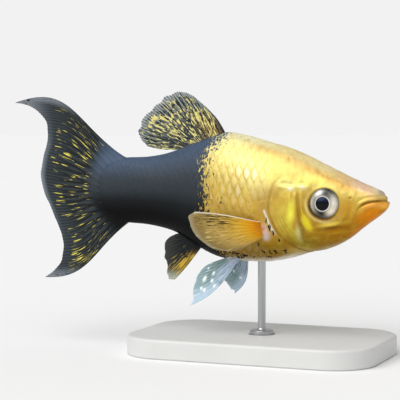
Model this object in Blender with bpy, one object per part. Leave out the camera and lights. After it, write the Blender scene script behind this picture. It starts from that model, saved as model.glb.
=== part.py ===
"""Life-size model of a gold tuxedo molly, swimming, held up by one steel rod on a flat base.

Metres, +Z up. The origin is the middle of the base's underside, straight below the rod.
+X points to the fish's snout, so its left flank is at +Y and its right flank at -Y.
The fish is modelled straight, in its own coordinates, and is bent and lifted into place last.
"""

import math

import bmesh
import bpy
import numpy as np

MM = 0.001

# How the fish is held
ROD_STATION = 8.0 * MM      # where the rod meets the belly, measured along the straight fish
BODY_HEIGHT = 32.0 * MM     # the body's centre line above the floor
BEND_RADIUS = 330.0 * MM    # the swimming curve of the spine, hollow on the right flank

# Gaps between pieces
GAP = 0.3 * MM

# Body surface
BODY_RINGS = 40
RING_POINTS = 28
SECTION_LEAST = 0.05 * MM   # no section of a drawn-in body gets smaller than this
END_CROWDING = 0.09         # how much closer together the rings lie at both ends

# One row for each place along the body, in millimetres: x, back, belly, half width,
# height of the widest line, then the fullness of the section above and below it (2 is an ellipse).
BODY_STATIONS = (
    (-28.8, 3.2, -1.6, 0.95, 0.7, 2.4, 2.4),    # end of the tail stem
    (-27.6, 4.9, -3.3, 1.25, 0.7, 2.4, 2.4),
    (-25.5, 6.6, -5.0, 1.65, 0.8, 2.3, 2.3),
    (-22.0, 7.6, -6.0, 2.20, 0.8, 2.2, 2.2),
    (-18.0, 7.7, -6.2, 2.85, 0.7, 2.1, 2.1),    # slimmest part of the stem
    (-13.1, 8.4, -7.0, 3.50, 0.6, 2.0, 2.1),
    (-10.0, 9.4, -8.0, 3.95, 0.4, 2.0, 2.1),    # rear of the dorsal fin
    (-7.5, 10.4, -9.5, 4.35, 0.2, 1.95, 2.1),
    (-5.0, 11.2, -11.0, 4.80, 0.0, 1.9, 2.1),   # front of the anal fin
    (-1.5, 12.5, -12.5, 5.40, -0.4, 1.9, 2.1),
    (0.7, 13.0, -13.0, 5.75, -0.6, 1.9, 2.2),   # front of the dorsal fin
    (4.0, 12.5, -13.3, 6.15, -0.8, 1.95, 2.2),
    (9.5, 11.1, -13.2, 6.50, -1.0, 2.0, 2.2),   # deepest part of the belly
    (14.4, 9.7, -12.3, 6.50, -1.2, 2.05, 2.1),  # gill covers
    (18.5, 8.0, -11.0, 6.10, -1.3, 2.1, 2.0),
    (22.1, 6.3, -10.2, 5.40, -1.2, 2.2, 1.9),   # eyes
    (26.0, 4.5, -8.5, 4.50, -1.0, 2.3, 1.9),
    (29.7, 2.85, -5.6, 3.55, -0.7, 2.3, 1.9),   # corner of the mouth
    (32.3, 1.9, -3.75, 2.75, -0.5, 2.3, 2.0),
    (33.6, 1.3, -2.75, 1.95, -0.6, 2.2, 2.0),
    (34.3, 0.75, -2.05, 1.25, -0.65, 2.1, 2.0),
    (34.6, 0.2, -1.5, 0.65, -0.65, 2.0, 2.0),    # tip of the lips
)

# Side outlines of the head's pieces: points (x, z) in millimetres, joined by a smooth line
STEM_CUT_X = -11.6          # between trunk and tail stem
GILL_LINE = (               # rear edge of the head, from the nape down to the throat
    (17.5, 15.0), (15.2, 9.0), (13.4, 4.2), (12.2, 1.2), (11.9, -1.8),
    (12.9, -5.3), (14.9, -8.3), (17.1, -10.0), (19.8, -11.2), (21.5, -14.0),
)
GILL_COVER_OUTLINE = (
    (12.6, 0.9), (12.35, -1.8), (13.35, -5.1), (15.2, -7.9), (17.4, -9.3),
    (18.7, -8.6), (18.3, -5.4), (17.5, -2.0), (17.3, 1.0), (16.6, 3.5), (14.6, 3.7), (13.4, 2.7),
)
MOUTH_LINE = (              # from the corner of the mouth forward, between the two jaws
    (29.4, -2.4), (30.1, -1.5), (31.2, -0.85), (32.5, -0.5), (33.7, -0.4), (36.0, -0.35), (38.0, -0.35),
)
LOWER_JAW_BACK = ((38.0, -9.0), (28.0, -9.0), (28.3, -6.5), (28.8, -4.0))
UPPER_JAW_BACK = ((38.0, 3.6), (34.4, 3.2), (33.3, 1.55), (31.8, 1.0), (30.3, 0.35), (29.2, -0.6))
MOUTH_HALF_GAP = 0.17       # millimetres
GILL_COVER_PROUD = 0.25 * MM
GILL_COVER_THICK = 1.1 * MM
GILL_COVER_FROM = 0.8 * MM  # the blocks that cut the covers start this far from the middle plane
HEAD_FRONT = 45 * MM        # and run forward to here
HEAD_SIDE = 12.0 * MM       # half width of the blocks that cut the head
GILL_LINE_POINTS = 20
COVER_POINTS = 30
JAW_POINTS = 30

# Eyes
EYE_PLACE = (23.05 * MM, 4.9 * MM, -0.9 * MM)
EYE_RADIUS = 3.0 * MM
EYE_BULGE = 1.05 * MM       # how far the clear front stands out from the eye's rim
EYE_DEPTH = 2.6 * MM        # how far the ball goes in behind the rim
EYE_TURN = math.radians(10.0)  # the eyes look a little forward
EYE_SEGMENTS = 20
EYE_RINGS = 12

# Fins: half thickness at the root, at a ray's end and in the web between two rays
FIN_ROOT_HALF = 0.55 * MM
FIN_RAY_HALF = 0.33 * MM
FIN_WEB_HALF = 0.26 * MM
FIN_ROOT_DEPTH = 1.3 * MM   # how far a fin runs into the body before it is cut to fit
FIN_THINNING = 1.6          # a ray has its end's thickness from 1 / 1.6 of its length on
FIN_SWAY = 0.35 * MM        # how far the fins of the middle plane wave to each side
SWAY_TURNS = 260.0          # radians of that wave per metre of height
PECTORAL_OUT = 7.3 * MM     # the pectoral fins' distance from the middle plane, clear of the flank
PECTORAL_SPRING = 2.3 * MM  # how much nearer their roots start
PECTORAL_SPRING_OVER = 1.1 * MM
PECTORAL_ROOT_X = 10.6 * MM
PECTORAL_AHEAD = 1.5 * MM   # the curve runs on this far in front of the root
PELVIC_OUT = 1.9 * MM       # the pelvic fins' distance from the middle plane at the belly
PELVIC_ROOT_Z = -12.5 * MM
FLARE = 0.24                # how far the paired fins spread for each unit of length

# Display stand
BASE_LENGTH = 52.0 * MM
BASE_WIDTH = 32.0 * MM
BASE_HEIGHT = 4.0 * MM
BASE_CORNER = 9.0 * MM
BASE_EDGE = 0.6 * MM
ROD_RADIUS = 0.8 * MM
ROD_DEPTH_IN_BELLY = 3.5 * MM
FOOT_RADIUS = 2.4 * MM
FOOT_THICK = 1.5 * MM
FOOT_SUNK = 0.7 * MM
ROD_EASE = 0.16 * MM        # softened edges of the rod and its foot
ROD_SIDES = 24
CORNER_STEPS = 7

SHARP_FROM = math.radians(40)   # edges bent more than this stay crisp


def clear_scene():
    for old in list(bpy.data.objects):
        bpy.data.objects.remove(old)


def smooth_line(x, known_x, known_y):
    """The smooth curve through known points that never overshoots them (a monotone cubic)."""
    x = np.asarray(x, float)
    kx, ky = np.asarray(known_x, float), np.asarray(known_y, float)
    step = np.diff(kx)
    slope = np.diff(ky) / step
    same = slope[:-1] * slope[1:] > 0
    w1, w2 = 2 * step[1:] + step[:-1], step[1:] + 2 * step[:-1]
    safe = np.where(same, slope[:-1] * slope[1:], 1.0)
    inner = np.where(same, (w1 + w2) * safe / (w1 * slope[1:] + w2 * slope[:-1] + 1e-30 * ~same), 0.0)
    lean = np.concatenate([[slope[0]], inner, [slope[-1]]])
    i = np.clip(np.searchsorted(kx, x) - 1, 0, len(step) - 1)
    t = (x - kx[i]) / step[i]
    return (
        ky[i] * (1 + 2 * t) * (1 - t) ** 2
        + ky[i + 1] * t * t * (3 - 2 * t)
        + step[i] * (lean[i] * t * (1 - t) ** 2 - lean[i + 1] * t * t * (1 - t))
    )


def through(points, shares):
    """Points at shares 0 to 1 of the way along the smooth line through the given points."""
    p = np.asarray(points, float)
    along = np.concatenate([[0.0], np.cumsum(np.linalg.norm(np.diff(p, axis=0), axis=1))])
    along /= along[-1]
    return np.stack([smooth_line(shares, along, p[:, k]) for k in range(p.shape[1])], axis=1)


def station_value(x, column):
    """One column of the body table at a place x, in metres."""
    table = np.array(BODY_STATIONS)
    scale = MM if column < 5 else 1.0
    return smooth_line(np.asarray(x) / MM, table[:, 0], table[:, column]) * scale


def back_height(x):
    return station_value(x, 1)


def belly_height(x):
    return station_value(x, 2)


def body_ring(x, grow):
    """The closed section of the body at x, as points (x, y, z), grown outwards by the given amount."""
    top, bottom = back_height(x) + grow, belly_height(x) - grow
    half, level = max(station_value(x, 3) + grow, SECTION_LEAST), station_value(x, 4)
    full_above, full_below = station_value(x, 5), station_value(x, 6)
    angle = 2 * math.pi * np.arange(RING_POINTS) / RING_POINTS
    fullness = np.where(np.sin(angle) >= 0, full_above, full_below)
    reach = np.maximum(np.where(np.sin(angle) >= 0, top - level, level - bottom), SECTION_LEAST)
    y = half * np.sign(np.cos(angle)) * np.abs(np.cos(angle)) ** (2 / fullness)
    z = level + reach * np.sign(np.sin(angle)) * np.abs(np.sin(angle)) ** (2 / fullness)
    return [(x, float(a), float(b)) for a, b in zip(y, z)]


def mesh_object(name, bm, material=None):
    """Closes off a bmesh as a new object with outward faces."""
    bm.normal_update()
    bmesh.ops.recalc_face_normals(bm, faces=bm.faces)
    mesh = bpy.data.meshes.new(name)
    bm.to_mesh(mesh)
    bm.free()
    if material:
        mesh.materials.append(material)
    return link(name, mesh)


def link(name, data=None):
    """A new object in the scene; with no data it is an empty."""
    obj = bpy.data.objects.new(name, data)
    bpy.context.scene.collection.objects.link(obj)
    return obj


def body_solid(name, grow=0.0, material=None):
    """The whole fish without fins: rings joined along the body and closed at both ends."""
    table = np.array(BODY_STATIONS)
    first, last = table[0, 0] * MM, table[-1, 0] * MM
    share = np.linspace(0.0, 1.0, BODY_RINGS)
    eased = share + END_CROWDING * np.sin(2 * math.pi * share) / math.pi
    places = first + (last - first) * eased
    stretch = grow * np.cos(math.pi * share)                       # a grown body is longer too
    bm = bmesh.new()
    rings = []
    for x, shift in zip(places, stretch):
        ring = [bm.verts.new((px - shift, py, pz)) for px, py, pz in body_ring(float(x), grow)]
        rings.append(ring)
    for a, b in zip(rings, rings[1:]):
        for i in range(RING_POINTS):
            j = (i + 1) % RING_POINTS
            bm.faces.new((a[i], a[j], b[j], b[i]))
    bm.faces.new(rings[0])
    bm.faces.new(rings[-1])
    return mesh_object(name, bm, material)


def side_block(name, outline, low_y, high_y):
    """A block with the given side outline (x, z), running from low_y to high_y."""
    bm = bmesh.new()
    face = bm.faces.new([bm.verts.new((x, low_y, z)) for x, z in outline])
    made = bmesh.ops.extrude_face_region(bm, geom=[face])
    moved = [v for v in made["geom"] if isinstance(v, bmesh.types.BMVert)]
    bmesh.ops.translate(bm, verts=moved, vec=(0.0, high_y - low_y, 0.0))
    return mesh_object(name, bm)


def loop_of(outline, count, outset=0.0):
    """A smooth closed side outline in metres, set outwards by outset."""
    corners = np.array(outline) * MM
    closed = np.vstack([corners, corners[:1]])
    loop = through(closed, np.arange(count) / count)
    along = np.roll(loop, -1, axis=0) - np.roll(loop, 1, axis=0)
    area = np.sum(loop[:, 0] * np.roll(loop[:, 1], -1) - np.roll(loop[:, 0], -1) * loop[:, 1])
    outward = np.stack([along[:, 1], -along[:, 0]], axis=1) * np.sign(area)
    outward /= np.linalg.norm(outward, axis=1)[:, None]
    return loop + outward * outset


def jaw_outlines():
    """Side outlines of both jaws: each runs along its own side of the mouth line, then round its back."""
    line = np.array(MOUTH_LINE)
    along = np.gradient(line, axis=0)
    along /= np.linalg.norm(along, axis=1)[:, None]
    up = np.stack([-along[:, 1], along[:, 0]], axis=1) * MOUTH_HALF_GAP
    return (
        ("lower_jaw", [*map(tuple, line - up), *LOWER_JAW_BACK]),
        ("upper_jaw", [*map(tuple, line + up), *UPPER_JAW_BACK]),
    )


def head_outline(outset):
    """Everything in front of the gill line, as a side outline moved forward by outset."""
    line = through(np.array(GILL_LINE) * MM, np.linspace(0, 1, GILL_LINE_POINTS))
    line[:, 0] += outset
    return [*map(tuple, line), (HEAD_FRONT, line[-1, 1]), (HEAD_FRONT, line[0, 1])]


def trunk_outline():
    line = through(np.array(GILL_LINE) * MM, np.linspace(0, 1, GILL_LINE_POINTS))
    rear = STEM_CUT_X * MM
    return [*map(tuple, line), (rear, line[-1, 1]), (rear, line[0, 1])]


def stem_outline():
    front, rear = STEM_CUT_X * MM - GAP, -45 * MM
    high, low = 20 * MM, -20 * MM
    return [(rear, low), (front, low), (front, high), (rear, high)]


def cut(obj, cutter, operation="DIFFERENCE"):
    """Adds a Boolean with the cutter, applies it, and keeps the cutter for further use."""
    modifier = obj.modifiers.new(cutter.name, "BOOLEAN")
    modifier.operation = operation
    modifier.object = cutter
    cutter.hide_render = True
    cutter.display_type = "WIRE"
    apply_modifiers(obj)
    return obj


def apply_modifiers(obj):
    graph = bpy.context.evaluated_depsgraph_get()
    shape = bpy.data.meshes.new_from_object(obj.evaluated_get(graph))
    obj.modifiers.clear()
    obj.data = shape
    bpy.context.view_layer.update()


def remove(*helpers):
    for helper in helpers:
        bpy.data.objects.remove(helper)


def shade_round(obj, sharp_from=SHARP_FROM):
    obj.data.shade_smooth()
    obj.data.set_sharp_from_angle(angle=sharp_from)


def put_in_place(obj, holder):
    """Bends a finished piece with the spine and hangs it on the holder at the body's height."""
    for v in obj.data.vertices:
        turn = (v.co.x - ROD_STATION) / BEND_RADIUS
        out = BEND_RADIUS + v.co.y
        v.co = (out * math.sin(turn), out * math.cos(turn) - BEND_RADIUS, v.co.z)
    obj.parent = holder
    shade_round(obj)


def material(name, colour, roughness, metallic=0.0):
    made = bpy.data.materials.new(name)
    made.use_nodes = True
    shader = made.node_tree.nodes["Principled BSDF"]
    shader.inputs["Base Color"].default_value = (*colour, 1.0)
    shader.inputs["Roughness"].default_value = roughness
    shader.inputs["Metallic"].default_value = metallic
    return made


def spine_pieces(gold, black, orange):
    """Head, jaws, gill covers, trunk and tail stem, all parted from one body."""
    head_block = side_block("head_block", head_outline(GAP), -HEAD_SIDE, HEAD_SIDE)
    trunk_block = side_block("trunk_block", trunk_outline(), -HEAD_SIDE, HEAD_SIDE)
    stem_block = side_block("stem_block", stem_outline(), -HEAD_SIDE, HEAD_SIDE)

    trunk = cut(body_solid("trunk", 0.0, gold), trunk_block, "INTERSECT")
    stem = cut(body_solid("tail_stem", 0.0, black), stem_block, "INTERSECT")
    head = cut(body_solid("head", 0.0, gold), head_block, "INTERSECT")

    pieces = [trunk, stem, head]
    for name, outline in jaw_outlines():
        block = side_block("jaw_block", loop_of(outline, JAW_POINTS), -HEAD_SIDE, HEAD_SIDE)
        room = side_block("jaw_room", loop_of(outline, JAW_POINTS, GAP), -HEAD_SIDE, HEAD_SIDE)
        pieces.append(cut(body_solid(name, 0.0, orange), block, "INTERSECT"))
        cut(head, room)
        remove(block, room)

    for side, sign in (("right", -1.0), ("left", 1.0)):
        pieces.append(gill_cover(f"gill_cover_{side}", sign, head, gold))
    remove(head_block, trunk_block, stem_block)
    return pieces, trunk, head


def gill_cover(name, sign, head, gold):
    """A curved plate that stands a little proud of the cheek, in a recess of its own."""
    far, near = sign * HEAD_SIDE, sign * GILL_COVER_FROM
    low, high = min(far, near), max(far, near)
    plate_block = side_block("plate_block", loop_of(GILL_COVER_OUTLINE, COVER_POINTS), low, high)
    room = side_block("cover_room", loop_of(GILL_COVER_OUTLINE, COVER_POINTS, GAP), low, high)
    under = body_solid("under_cover", GILL_COVER_PROUD - GILL_COVER_THICK)
    floor = body_solid("recess_floor", GILL_COVER_PROUD - GILL_COVER_THICK - GAP)
    plate = body_solid(name, GILL_COVER_PROUD, gold)
    cut(plate, plate_block, "INTERSECT")
    cut(plate, under)
    cut(room, floor)
    cut(head, room)
    remove(plate_block, room, under, floor)
    return plate


def eyeball(name, grow, sign, material=None):
    """A ball with a shallow front and a deep back, its poles at the pupil and at the back of the eye."""
    bm = bmesh.new()
    bmesh.ops.create_uvsphere(bm, u_segments=EYE_SEGMENTS, v_segments=EYE_RINGS, radius=1.0)
    c, s = math.cos(EYE_TURN), math.sin(EYE_TURN)
    for v in bm.verts:
        depth = EYE_BULGE if v.co.z > 0 else EYE_DEPTH
        along, up = v.co.x * (EYE_RADIUS + grow), v.co.y * (EYE_RADIUS + grow)
        out = v.co.z * (depth + grow)
        x, y = EYE_PLACE[0] + along * c + out * s, EYE_PLACE[1] - along * s + out * c
        v.co = (x, sign * y, EYE_PLACE[2] + up)
    return mesh_object(name, bm, material)


def eyes(head, silver):
    made = []
    for side, sign in (("right", -1.0), ("left", 1.0)):
        socket = eyeball("eye_socket", GAP, sign)
        cut(head, socket)
        remove(socket)
        made.append(eyeball(f"eye_{side}", 0.0, sign, silver))
    return made


def ray_bow(t, lateness):
    """How a bowed ray leaves its chord: fullest at its middle, or later the higher the lateness."""
    return np.sin(math.pi * np.asarray(t) ** lateness)


def fin(name, fin_plan, sideways, material):
    """A closed fin from its plan of root, edge and bow; sideways(x, z, t) gives the y of each point."""
    rays, rows = fin_plan["rays"], fin_plan["rows"]
    columns = 2 * rays - 1
    share = np.linspace(0.0, 1.0, columns)
    root = through(np.array(fin_plan["root"]) * MM, share)
    edge = through(np.array(fin_plan["edge"]) * MM, share)
    bow_at, bow_by = np.array(fin_plan["bow"]).T
    bow = smooth_line(share, bow_at, bow_by * MM)
    chord = edge - root
    length = np.linalg.norm(chord, axis=1)[:, None]
    across = np.stack([-chord[:, 1], chord[:, 0]], axis=1) / length
    root = root - chord / length * FIN_ROOT_DEPTH
    chord = edge - root

    bm = bmesh.new()
    sheets = ([], [])
    for i in range(columns):
        is_ray = i % 2 == 0
        pair = ([], [])
        for j in range(rows + 1):
            t = (j / rows) ** fin_plan["ease"]
            x, z = root[i] + chord[i] * t + across[i] * bow[i] * ray_bow(t, fin_plan["lateness"])
            end_half = FIN_RAY_HALF if is_ray else FIN_WEB_HALF
            half = FIN_ROOT_HALF + (end_half - FIN_ROOT_HALF) * min(1.0, FIN_THINNING * t)
            middle = sideways(x, z, t)
            pair[0].append(bm.verts.new((x, middle - half, z)))
            pair[1].append(bm.verts.new((x, middle + half, z)))
        sheets[0].append(pair[0])
        sheets[1].append(pair[1])
    for sheet in sheets:
        for i in range(columns - 1):
            for j in range(rows):
                bm.faces.new((sheet[i][j], sheet[i + 1][j], sheet[i + 1][j + 1], sheet[i][j + 1]))
    one, two = sheets
    for i in range(columns - 1):
        for j in (0, rows):
            bm.faces.new((one[i][j], one[i + 1][j], two[i + 1][j], two[i][j]))
    for j in range(rows):
        for i in (0, columns - 1):
            bm.faces.new((one[i][j], one[i][j + 1], two[i][j + 1], two[i][j]))
    return mesh_object(name, bm, material)


# Fin plans in millimetres. root: where the fin meets the body. edge: the ray ends, front to back
# or top to bottom. bow: (share along the fin, how far a ray leaves its chord), with its lateness.
# ease: above 1, the cross rows lie closer together near the root.
DORSAL_PLAN = {
    "rays": 12, "rows": 5, "lateness": 1.3, "ease": 1.35,
    "root": ((-0.3, 12.9), (-3.5, 11.8), (-7.0, 10.6), (-10.4, 9.3)),
    "edge": ((-2.6, 16.7), (-4.5, 18.5), (-7.0, 20.3), (-10.2, 21.4), (-13.8, 19.3), (-17.4, 15.9),
             (-18.9, 13.4), (-18.4, 11.2), (-17.0, 9.9)),
    "bow": ((0.0, -0.3), (0.4, -0.2), (1.0, 0.3)),
}
ANAL_PLAN = {
    "rays": 8, "rows": 4, "lateness": 1.3, "ease": 1.35,
    "root": ((-5.3, -10.8), (-7.4, -9.6), (-9.6, -8.2)),
    "edge": ((-11.2, -17.8), (-12.6, -17.6), (-12.8, -15.3), (-13.3, -12.2), (-13.2, -10.3),
             (-12.2, -8.9), (-11.0, -8.3)),
    "bow": ((0.0, 0.2), (0.5, 0.0), (1.0, -0.2)),
}
TAIL_PLAN = {
    "rays": 17, "rows": 9, "lateness": 1.8, "ease": 1.1,
    "root": ((-21.8, 7.3), (-25.2, 6.2), (-27.4, 3.4), (-28.0, 0.7), (-27.4, -2.0), (-25.0, -4.5),
             (-21.0, -5.7)),
    "edge": ((-46.6, 19.0), (-43.5, 18.8), (-40.4, 16.9), (-39.1, 13.9), (-39.3, 11.0), (-40.3, 7.6),
             (-40.8, 4.0), (-40.1, 0.3), (-38.6, -3.2), (-36.9, -7.1), (-35.8, -10.6),
             (-36.3, -14.0), (-38.3, -16.7), (-40.4, -18.1)),
    "bow": ((0.0, -4.7), (0.08, -3.2), (0.25, -1.2), (0.45, 0.0), (0.7, 0.7), (1.0, 2.8)),
}
PECTORAL_PLAN = {
    "rays": 10, "rows": 6, "lateness": 1.3, "ease": 1.35,
    "root": ((10.6, -4.9), (11.0, -6.3), (10.4, -7.7)),
    "edge": ((-2.6, -2.8), (-3.9, -3.8), (-3.6, -5.4), (-2.3, -7.6), (-0.7, -9.0), (1.4, -10.2),
             (4.0, -10.6), (6.3, -10.2), (8.2, -9.3)),
    "bow": ((0.0, -0.4), (0.5, 0.0), (1.0, 0.1)),
}
PELVIC_RIGHT_PLAN = {
    "rays": 7, "rows": 5, "lateness": 1.3, "ease": 1.35,
    "root": ((3.7, -12.9), (2.2, -12.9), (0.6, -12.7)),
    "edge": ((-6.2, -22.5), (-5.6, -21.2), (-5.7, -19.4), (-5.3, -17.4), (-4.5, -15.6), (-3.4, -14.4),
             (-2.0, -13.6)),
    "bow": ((0.0, 1.3), (0.4, 0.5), (1.0, 0.0)),
}
PELVIC_LEFT_PLAN = {
    "rays": 6, "rows": 5, "lateness": 1.3, "ease": 1.35,
    "root": ((3.9, -12.9), (2.6, -12.9), (1.2, -12.7)),
    "edge": ((0.9, -20.4), (0.2, -19.9), (-0.4, -19.2), (-0.9, -18.4), (-1.1, -17.6), (-1.1, -16.6),
             (-0.8, -15.4)),
    "bow": ((0.0, 1.3), (0.5, 0.5), (1.0, 0.0)),
}


def midline_fins(wide_body, black):
    """Dorsal, anal and tail fin, each standing in the middle plane with a slight sway."""
    def sway(x, z, t):
        return FIN_SWAY * math.sin(math.pi * t) * math.sin(SWAY_TURNS * z)

    made = []
    for name, plan in (("dorsal_fin", DORSAL_PLAN), ("anal_fin", ANAL_PLAN), ("tail_fin", TAIL_PLAN)):
        made.append(cut(fin(name, plan, sway, black), wide_body))
    return made


def paired_fins(wide_body, gold, pale):
    """Pectoral and pelvic fins: they leave the body sideways and flare out towards their edges."""
    made = []
    for side, sign in (("right", -1.0), ("left", 1.0)):
        def breast(x, z, t, sign=sign):
            out = max(-PECTORAL_AHEAD, PECTORAL_ROOT_X - x)
            spring = PECTORAL_SPRING * math.exp(-out / PECTORAL_SPRING_OVER)
            return sign * (PECTORAL_OUT - spring + FLARE * out)

        def belly(x, z, t, sign=sign):
            return sign * (PELVIC_OUT + FLARE * max(0.0, PELVIC_ROOT_Z - z))

        pelvic_plan = PELVIC_RIGHT_PLAN if sign < 0 else PELVIC_LEFT_PLAN
        made.append(cut(fin(f"pectoral_fin_{side}", PECTORAL_PLAN, breast, gold), wide_body))
        made.append(cut(fin(f"pelvic_fin_{side}", pelvic_plan, belly, pale), wide_body))
    return made


def turned(name, profile, material=None):
    """A round piece from a profile of (radius, height) pairs that starts and ends on the axis."""
    bm = bmesh.new()
    line = [bm.verts.new((r, 0.0, z)) for r, z in profile]
    edges = [bm.edges.new(pair) for pair in zip(line, line[1:])]
    bmesh.ops.spin(
        bm, geom=line + edges, cent=(0, 0, 0), axis=(0, 0, 1), angle=2 * math.pi,
        steps=ROD_SIDES, use_merge=True,
    )
    bmesh.ops.remove_doubles(bm, verts=bm.verts, dist=0.002 * MM)
    return mesh_object(name, bm, material)


def stand(trunk, steel, lacquer):
    """A flat base with rounded corners, and one rod with a foot, run up into the belly."""
    half_x, half_y = BASE_LENGTH / 2 - BASE_CORNER, BASE_WIDTH / 2 - BASE_CORNER
    outline = []
    for corner in range(4):
        middle = (half_x * (1, -1, -1, 1)[corner], half_y * (1, 1, -1, -1)[corner])
        for step in range(CORNER_STEPS + 1):
            angle = math.radians(90 * corner + 90 * step / CORNER_STEPS)
            outline.append((middle[0] + BASE_CORNER * math.cos(angle),
                            middle[1] + BASE_CORNER * math.sin(angle)))
    bm = bmesh.new()
    face = bm.faces.new([bm.verts.new((x, y, 0.0)) for x, y in outline])
    made = bmesh.ops.extrude_face_region(bm, geom=[face])
    moved = [v for v in made["geom"] if isinstance(v, bmesh.types.BMVert)]
    bmesh.ops.translate(bm, verts=moved, vec=(0.0, 0.0, BASE_HEIGHT))
    rim = [e for e in bm.edges if all(v.co.z > BASE_HEIGHT - 1e-6 for v in e.verts)]
    bmesh.ops.bevel(bm, geom=rim, offset=BASE_EDGE, segments=2, profile=0.5, affect="EDGES")
    base = mesh_object("stand_base", bm, lacquer)

    # The rod stands with its foot in a shallow seat, and its top in a blind hole in the belly.
    foot_level = BASE_HEIGHT - FOOT_SUNK
    length = BODY_HEIGHT + float(belly_height(ROD_STATION)) + ROD_DEPTH_IN_BELLY - foot_level
    rod = turned("stand_rod", [
        (0.0, length), (ROD_RADIUS - ROD_EASE, length), (ROD_RADIUS, length - ROD_EASE),
        (ROD_RADIUS, FOOT_THICK + 3 * ROD_EASE), (ROD_RADIUS + ROD_EASE, FOOT_THICK + ROD_EASE),
        (ROD_RADIUS + 3 * ROD_EASE, FOOT_THICK), (FOOT_RADIUS - ROD_EASE, FOOT_THICK),
        (FOOT_RADIUS, FOOT_THICK - ROD_EASE), (FOOT_RADIUS, 0.0), (0.0, 0.0),
    ], steel)
    rod.location.z = foot_level
    for piece, radius, low, high in (
        (base, FOOT_RADIUS + GAP, -GAP, 2 * FOOT_THICK),
        (trunk, ROD_RADIUS + GAP, FOOT_THICK, length + GAP),
    ):
        hole = turned("hole", [(0.0, high), (radius, high), (radius, low), (0.0, low)])
        hole.location.z = foot_level
        bpy.context.view_layer.update()
        cut(piece, hole)
        remove(hole)
        shade_round(piece)
    shade_round(rod)


def main():
    clear_scene()
    gold = material("gold_skin", (0.72, 0.50, 0.10), 0.35)
    black = material("black_skin", (0.020, 0.025, 0.032), 0.5)
    orange = material("orange_lip", (0.75, 0.33, 0.02), 0.4)
    silver = material("silver_iris", (0.55, 0.53, 0.48), 0.15, 0.3)
    pale = material("pale_fin", (0.55, 0.66, 0.70), 0.3)
    steel = material("brushed_steel", (0.56, 0.57, 0.58), 0.3, 1.0)
    lacquer = material("pale_lacquer", (0.70, 0.70, 0.69), 0.4)

    pieces, trunk, head = spine_pieces(gold, black, orange)
    pieces += eyes(head, silver)
    wide_body = body_solid("wide_body", GAP)
    pieces += midline_fins(wide_body, black)
    pieces += paired_fins(wide_body, gold, pale)
    remove(wide_body)
    fish = link("fish")
    fish.location.z = BODY_HEIGHT
    for piece in pieces:
        put_in_place(piece, fish)
    bpy.context.view_layer.update()
    stand(trunk, steel, lacquer)


main()
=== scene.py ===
# A life-size gold tuxedo molly on a display stand: skin, scales, fins, eyes, stand, studio.
import itertools
import math

import bpy
import numpy as np
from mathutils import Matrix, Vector


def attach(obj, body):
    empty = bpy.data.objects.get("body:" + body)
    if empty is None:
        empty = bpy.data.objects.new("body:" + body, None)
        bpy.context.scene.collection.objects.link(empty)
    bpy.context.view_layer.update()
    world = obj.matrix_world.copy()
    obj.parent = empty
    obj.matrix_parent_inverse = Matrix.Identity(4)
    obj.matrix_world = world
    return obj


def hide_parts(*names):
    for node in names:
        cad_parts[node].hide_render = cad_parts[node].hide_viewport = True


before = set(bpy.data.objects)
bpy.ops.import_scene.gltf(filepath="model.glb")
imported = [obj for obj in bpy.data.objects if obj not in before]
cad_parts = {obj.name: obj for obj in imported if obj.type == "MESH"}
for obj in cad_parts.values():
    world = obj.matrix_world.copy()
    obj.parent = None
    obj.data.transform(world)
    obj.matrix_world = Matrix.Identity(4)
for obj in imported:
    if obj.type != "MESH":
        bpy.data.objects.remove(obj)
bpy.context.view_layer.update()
mm = 0.001
print("frame loaded with", len(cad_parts), "nodes")

# The fish is shaped straight, in millimetres: x to the snout, y to its left, z up from the
# body's centre line. onSpine bends it and lifts it to where the solids are.
pose = {"rodStation": 8.0, "bodyHeight": 32.0, "bendRadius": 330.0}


# Small tools for shapes and colours

def onSpine(points):  # each x becomes an angle round the bend's centre, each y a distance from it
    turn = (points[..., 0] - pose["rodStation"]) / pose["bendRadius"]
    out = pose["bendRadius"] + points[..., 1]
    height = points[..., 2] + pose["bodyHeight"]
    return np.stack([out * np.sin(turn), out * np.cos(turn) - pose["bendRadius"], height], -1) * mm


def linear(hexColour):  # an sRGB hex value in linear light
    value = np.array([int(hexColour[i:i + 2], 16) for i in (1, 3, 5)]) / 255
    return np.where(value <= 0.04045, value / 12.92, ((value + 0.055) / 1.055) ** 2.4)


def smoothStep(value, low, high):  # 0 at low, 1 at high, with an easy start and end
    t = np.clip((value - low) / (high - low), 0, 1)
    return t * t * (3 - 2 * t)


def bell(value, width):  # 1 at zero, falling off over the width as a Gaussian
    return np.exp(-(value / width) ** 2)


def patchStrength(x, z, patch):  # 1 in the middle of an oval patch, falling off as a Gaussian
    px, pz, length, height = patch
    return np.exp(-((x - px) / length) ** 2 - ((z - pz) / height) ** 2)


def blend(a, b, share):  # colour a moved to colour b by a share for each point
    return a + (b - a) * np.asarray(share)[..., None]


def tint(colour, hexColour, share):  # the same, towards a hex colour
    return blend(colour, linear(hexColour), share)


def rampColour(value, stops):  # straight runs between the colours of (value, hex) stops
    at = [s[0] for s in stops]
    colours = np.array([linear(s[1]) for s in stops])
    return np.stack([np.interp(value, at, colours[:, k]) for k in range(3)], -1)


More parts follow.
